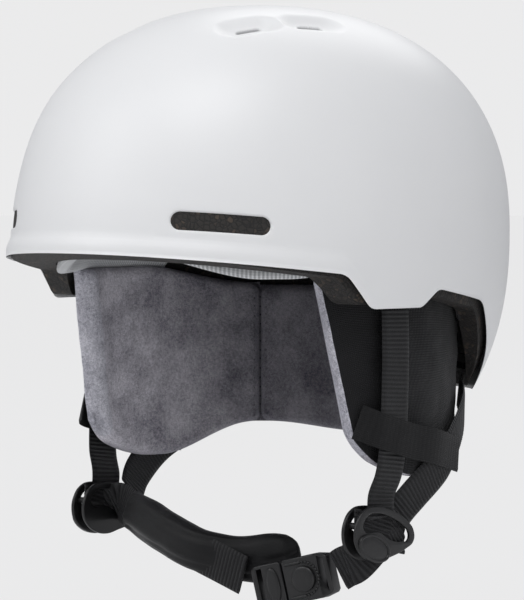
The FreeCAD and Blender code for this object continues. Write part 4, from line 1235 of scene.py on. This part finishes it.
def makeFoldedWeb(side, word):
    # ribbed webbing inside the divider, folded over so that its ribs turn a corner
    settings = {"pitch": 2.1, "height": 0.55, "first": 17.0, "second": 54.0, "shift": 3.4, "cells": 88,
                "centre": (0.5, 2.0), "half": (17.2, 8.6)}
    a1, a2 = math.radians(settings["first"]), math.radians(settings["second"])
    points, flat = [], []
    for level in (1, -1):
        for i in range(settings["cells"]):
            for j in range(settings["cells"]):
                x = settings["centre"][0] + settings["half"][0] * (2 * i / (settings["cells"] - 1) - 1)
                y = settings["centre"][1] + settings["half"][1] * (2 * j / (settings["cells"] - 1) - 1)
                y -= 0.22 * (x + 6)
                near = x * math.sin(a1) + y * math.cos(a1)
                far = x * math.sin(a2) + y * math.cos(a2) - settings["shift"]
                d = max(near, far)
                rib = (0.5 + 0.5 * math.sin(2 * math.pi * d / settings["pitch"])) ** 0.8
                z = dividerParts["web"] - 1.6 * smooth((y - 0.5) / 3.5)
                z += settings["height"] * rib if level > 0 else -0.9
                points.append(Vector((x, y, z)))
                flat.append((d + 0.4, x))
    n = settings["cells"]
    one = n ** 2
    faces = gridFaces(n, n)
    faces += [tuple(one + k for k in reversed(face)) for face in gridFaces(n, n)]
    border = [i for i in range(n)] + [i * n + n - 1 for i in range(1, n)]
    border += [(n - 1) * n + n - 1 - i for i in range(1, n)] + [(n - 1 - i) * n for i in range(1, n - 1)]
    for a, b in zip(border, border[1:] + border[:1]):
        faces.append((a, b, one + b, one + a))
    piece = makePiece(word + "FoldedWeb", dividerToRow(points, side), faces, materials["web_black"],
                      flat=flat)
    fixNormals(piece)
    sharpen(piece, 60)
    dress(piece, word + "_divider_slide")


makeDivider(1, "left")
makeDivider(-1, "right")
print("stage: dividers")


def soften(nodeName, width, segments=2, angle=35):
    node = frame["nodes"][nodeName]
    weld = node.modifiers.new("weld", "WELD")
    weld.merge_threshold = 1e-6
    bevel = node.modifiers.new("softEdges", "BEVEL")
    bevel.width = width * mm
    bevel.segments = segments
    bevel.limit_method = "ANGLE"
    bevel.angle_limit = math.radians(angle)


soften("goggle_clip_plate", 0.5)
soften("goggle_clip_cap", 0.4)
print("stage: moulded parts")


buckleAlong = strapWay.copy()
buckleDown = buckleFace.cross(buckleAlong).normalized()
buckleFront = buckleAlong.cross(buckleDown).normalized()
buckleParts = {
    "half": 4.0, "base": [(0.4, -8.2), (1.6, -9.6), (7.5, -10.9), (25.2, -10.9), (26.2, -9.6), (26.2, 9.6),
                          (25.2, 10.9), (7.5, 10.9), (1.6, 9.6), (0.4, 8.2)],
    "baseSlot": [(3.0, -7.6), (6.0, -9.2), (6.4, 0), (6.0, 9.2), (3.0, 7.6)],
    "latch": [(27.0, -9.4), (28.0, -10.9), (41.0, -10.9), (43.6, -9.6), (43.9, -8.0), (43.9, 8.0),
              (43.6, 9.6), (41.0, 10.9), (28.0, 10.9), (27.0, 9.4)],
    "latchSlot": [(38.2, -9.0), (41.0, -9.0), (41.0, 9.0), (38.2, 9.0)],
    "tab": [(30.4, 13.6), (46.0, 13.6), (45.4, 20.4), (44.0, 21.3), (33.4, 21.3), (32.0, 20.4)]}


def buckleToRow(points):
    return [buckleStart + buckleAlong * p.x + buckleDown * p.y + buckleFront * p.z for p in points]


def rodBetween(a, b, radius, around=12, steps=7):
    # rounded bar from a to b
    a, b = Vector(a), Vector(b)
    along = (b - a).normalized()
    side = along.cross(Vector((0, 0, 1))).normalized()
    up = side.cross(along)
    points = []
    stops = [(radius * (1 - math.cos(math.pi / 2 * k / steps)), radius * math.sin(math.pi / 2 * k / steps))
             for k in range(1, steps + 1)]
    length = (b - a).length
    sections = stops + [(length - d, r) for d, r in reversed(stops)]
    for d, r in sections:
        for k in range(around):
            angle = 2 * math.pi * k / around
            points.append(a + along * d + side * (r * math.cos(angle)) + up * (r * math.sin(angle)))
    faces = cappedTube(len(sections), around)
    return points, faces


def bucklePiece(name, parts, body, node):
    points, faces = joinParts(parts)
    piece = makePiece(name, buckleToRow(points), faces, materials["plastic_black"])
    fixNormals(piece, 0.01)
    sharpen(piece, 55)
    dress(piece, body, [node])


def makeBuckle():
    b = buckleParts
    half = b["half"]
    base = [plateFromOutlines([b["base"], b["baseSlot"]], -half, half, 0.9, False)]
    base.append(ovalRings((15.0, 0.0), 6.4, 6.4, 0, [
        (1.0, half - 0.4), (1.0, half + 1.2), (0.94, half + 1.75), (0.8, half + 2.05), (0.4, half + 2.2),
        (0.1, half + 2.2)]))
    horseshoe = [(24.6, -8.2), (15.0, -8.2)]
    horseshoe += [(15.0 - 8.2 * math.sin(math.radians(a)), -8.2 * math.cos(math.radians(a)))
                  for a in range(12, 180, 12)]
    horseshoe += [(15.0, 8.2), (24.6, 8.2)]
    for (x0, y0), (x1, y1) in zip(horseshoe, horseshoe[1:]):
        base.append(rodBetween((x0, y0, half - 0.05), (x1, y1, half - 0.05), 0.8))
    bucklePiece("buckleBody", base, "left_flap", "buckle_base")
    latch = [plateFromOutlines([b["latch"], b["latchSlot"]], -half, half, 0.9, False)]
    latch.append(ovalRings((32.4, 0.0), 3.6, 8.6, 0, [
        (1.0, half - 0.4), (1.0, half + 0.5), (0.9, half + 0.9), (0.5, half + 1.0), (0.1, half + 1.0)]))
    bucklePiece("buckleCatch", latch, "chin_strap", "buckle_latch")
    lugs = [rodBetween((x, 10.2, 0), (x, 12.9, 0), 1.5) for x in (31.6, 43.0)]
    points, faces = joinParts(lugs)
    hinge = makePiece("bucklePullLugs", buckleToRow(points), faces, materials["plastic_black"])
    fixNormals(hinge)
    dress(hinge, "chin_strap")
    tab = [plateFromOutlines([b["tab"]], -3.0, 3.0, 0.8, False)]
    tab.append(rodBetween((33.2, 12.4, 0), (41.6, 12.4, 0), 1.3))
    tab.append(rodBetween((35.0, 12.4, 0), (35.0, 14.4, 0), 1.3))
    tab.append(rodBetween((40.0, 12.4, 0), (40.0, 14.4, 0), 1.3))
    for y in (15.2, 17.4, 19.6):
        tab.append(rodBetween((33.2, y, 3.0), (44.2, y, 3.0), 0.65))
    bucklePiece("bucklePull", tab, "pull_tab", "buckle_pull_tab")


makeBuckle()
print("stage: buckle")


def aimFrom(item, azimuth, elevation, distance, aim=(0.0, 0.0, 0.0)):
    # puts a camera or lamp at a distance from the aim and turns it towards it
    across, up = math.radians(azimuth), math.radians(elevation)
    out = Vector((math.sin(across) * math.cos(up), -math.cos(across) * math.cos(up), math.sin(up)))
    item.location = Vector(aim) + out * distance
    item.rotation_euler = (-out).to_track_quat("-Z", "Y").to_euler()
    bpy.context.scene.collection.objects.link(item)


def cameraAt(azimuth, elevation, distance, aim, lens):
    camera = bpy.data.objects.new("camera", bpy.data.cameras.new("camera"))
    aimFrom(camera, azimuth, elevation, distance, aim)
    camera.data.lens = lens
    camera.data.clip_end = 20
    bpy.context.scene.camera = camera


studio = {"azimuth": 42.0, "elevation": 2.2, "distance": 1.6, "aim": (0.0, 0.0, -0.0285), "lens": 192.0,
          "backdrop": (0.83, 0.83, 0.835, 1)}
cameraAt(studio["azimuth"], studio["elevation"], studio["distance"], studio["aim"], studio["lens"])


def makeFloor():
    settings = {"height": cadBox[0][2] - 0.02, "reach": 40.0, "color": (0.80, 0.80, 0.805)}
    net = bmesh.new()
    bmesh.ops.create_grid(net, x_segments=8, y_segments=8, size=settings["reach"])
    mesh = bpy.data.meshes.new("floor")
    net.to_mesh(mesh)
    net.free()
    floor = bpy.data.objects.new("floor", mesh)
    bpy.context.scene.collection.objects.link(floor)
    floor.location.z = settings["height"]
    material, tree, shader = newMaterial("paleFloor", settings["color"], 0.8)
    grain = place(tree, grainGroup, Scale=120.0, Detail=3.0)
    ramp(tree, grain.outputs["Mask"], 0.75, 0.9, shader.inputs["Roughness"])
    glow = tree.nodes.new("ShaderNodeEmission")
    glow.inputs["Color"].default_value = studio["backdrop"]
    path = tree.nodes.new("ShaderNodeLightPath")
    both = tree.nodes.new("ShaderNodeMixShader")
    tree.links.new(mathNode(tree, "MULTIPLY", path.outputs["Is Camera Ray"], 0.96), both.inputs[0])
    tree.links.new(shader.outputs[0], both.inputs[1])
    tree.links.new(glow.outputs[0], both.inputs[2])
    tree.links.new(both.outputs[0], tree.nodes["Material Output"].inputs["Surface"])
    mesh.materials.append(material)


makeFloor()


def areaLight(name, azimuth, elevation, distance, size, power):
    lamp = bpy.data.objects.new(name, bpy.data.lights.new(name, "AREA"))
    lamp.data.shape = "DISK"
    lamp.data.size = size
    lamp.data.energy = power
    aimFrom(lamp, azimuth, elevation, distance)


areaLight("keyLight", 30, 62, 2.2, 1.6, 20)
areaLight("fillLight", 95, 10, 2.4, 1.6, 3)
areaLight("sideLight", -30, 34, 2.4, 1.6, 12)
areaLight("lowLight", 62, -12, 2.2, 1.2, 9)
areaLight("backLight", 205, 42, 2.4, 1.6, 10)


def makeWorld():
    # soft light all round; the camera sees the backdrop at the floor's own paleness
    world = bpy.data.worlds.new("studio")
    bpy.context.scene.world = world
    world.use_nodes = True
    tree = world.node_tree
    seen = tree.nodes["Background"]
    seen.inputs["Color"].default_value = studio["backdrop"]
    lighting = tree.nodes.new("ShaderNodeBackground")
    lighting.inputs["Color"].default_value = (0.95, 0.96, 1.0, 1)
    lighting.inputs["Strength"].default_value = 0.42
    path = tree.nodes.new("ShaderNodeLightPath")
    both = tree.nodes.new("ShaderNodeMixShader")
    tree.links.new(path.outputs["Is Camera Ray"], both.inputs[0])
    tree.links.new(lighting.outputs[0], both.inputs[1])
    tree.links.new(seen.outputs[0], both.inputs[2])
    tree.links.new(both.outputs[0], tree.nodes["World Output"].inputs["Surface"])


makeWorld()
bpy.context.scene.view_settings.view_transform = "Standard"
print("stage: studio")
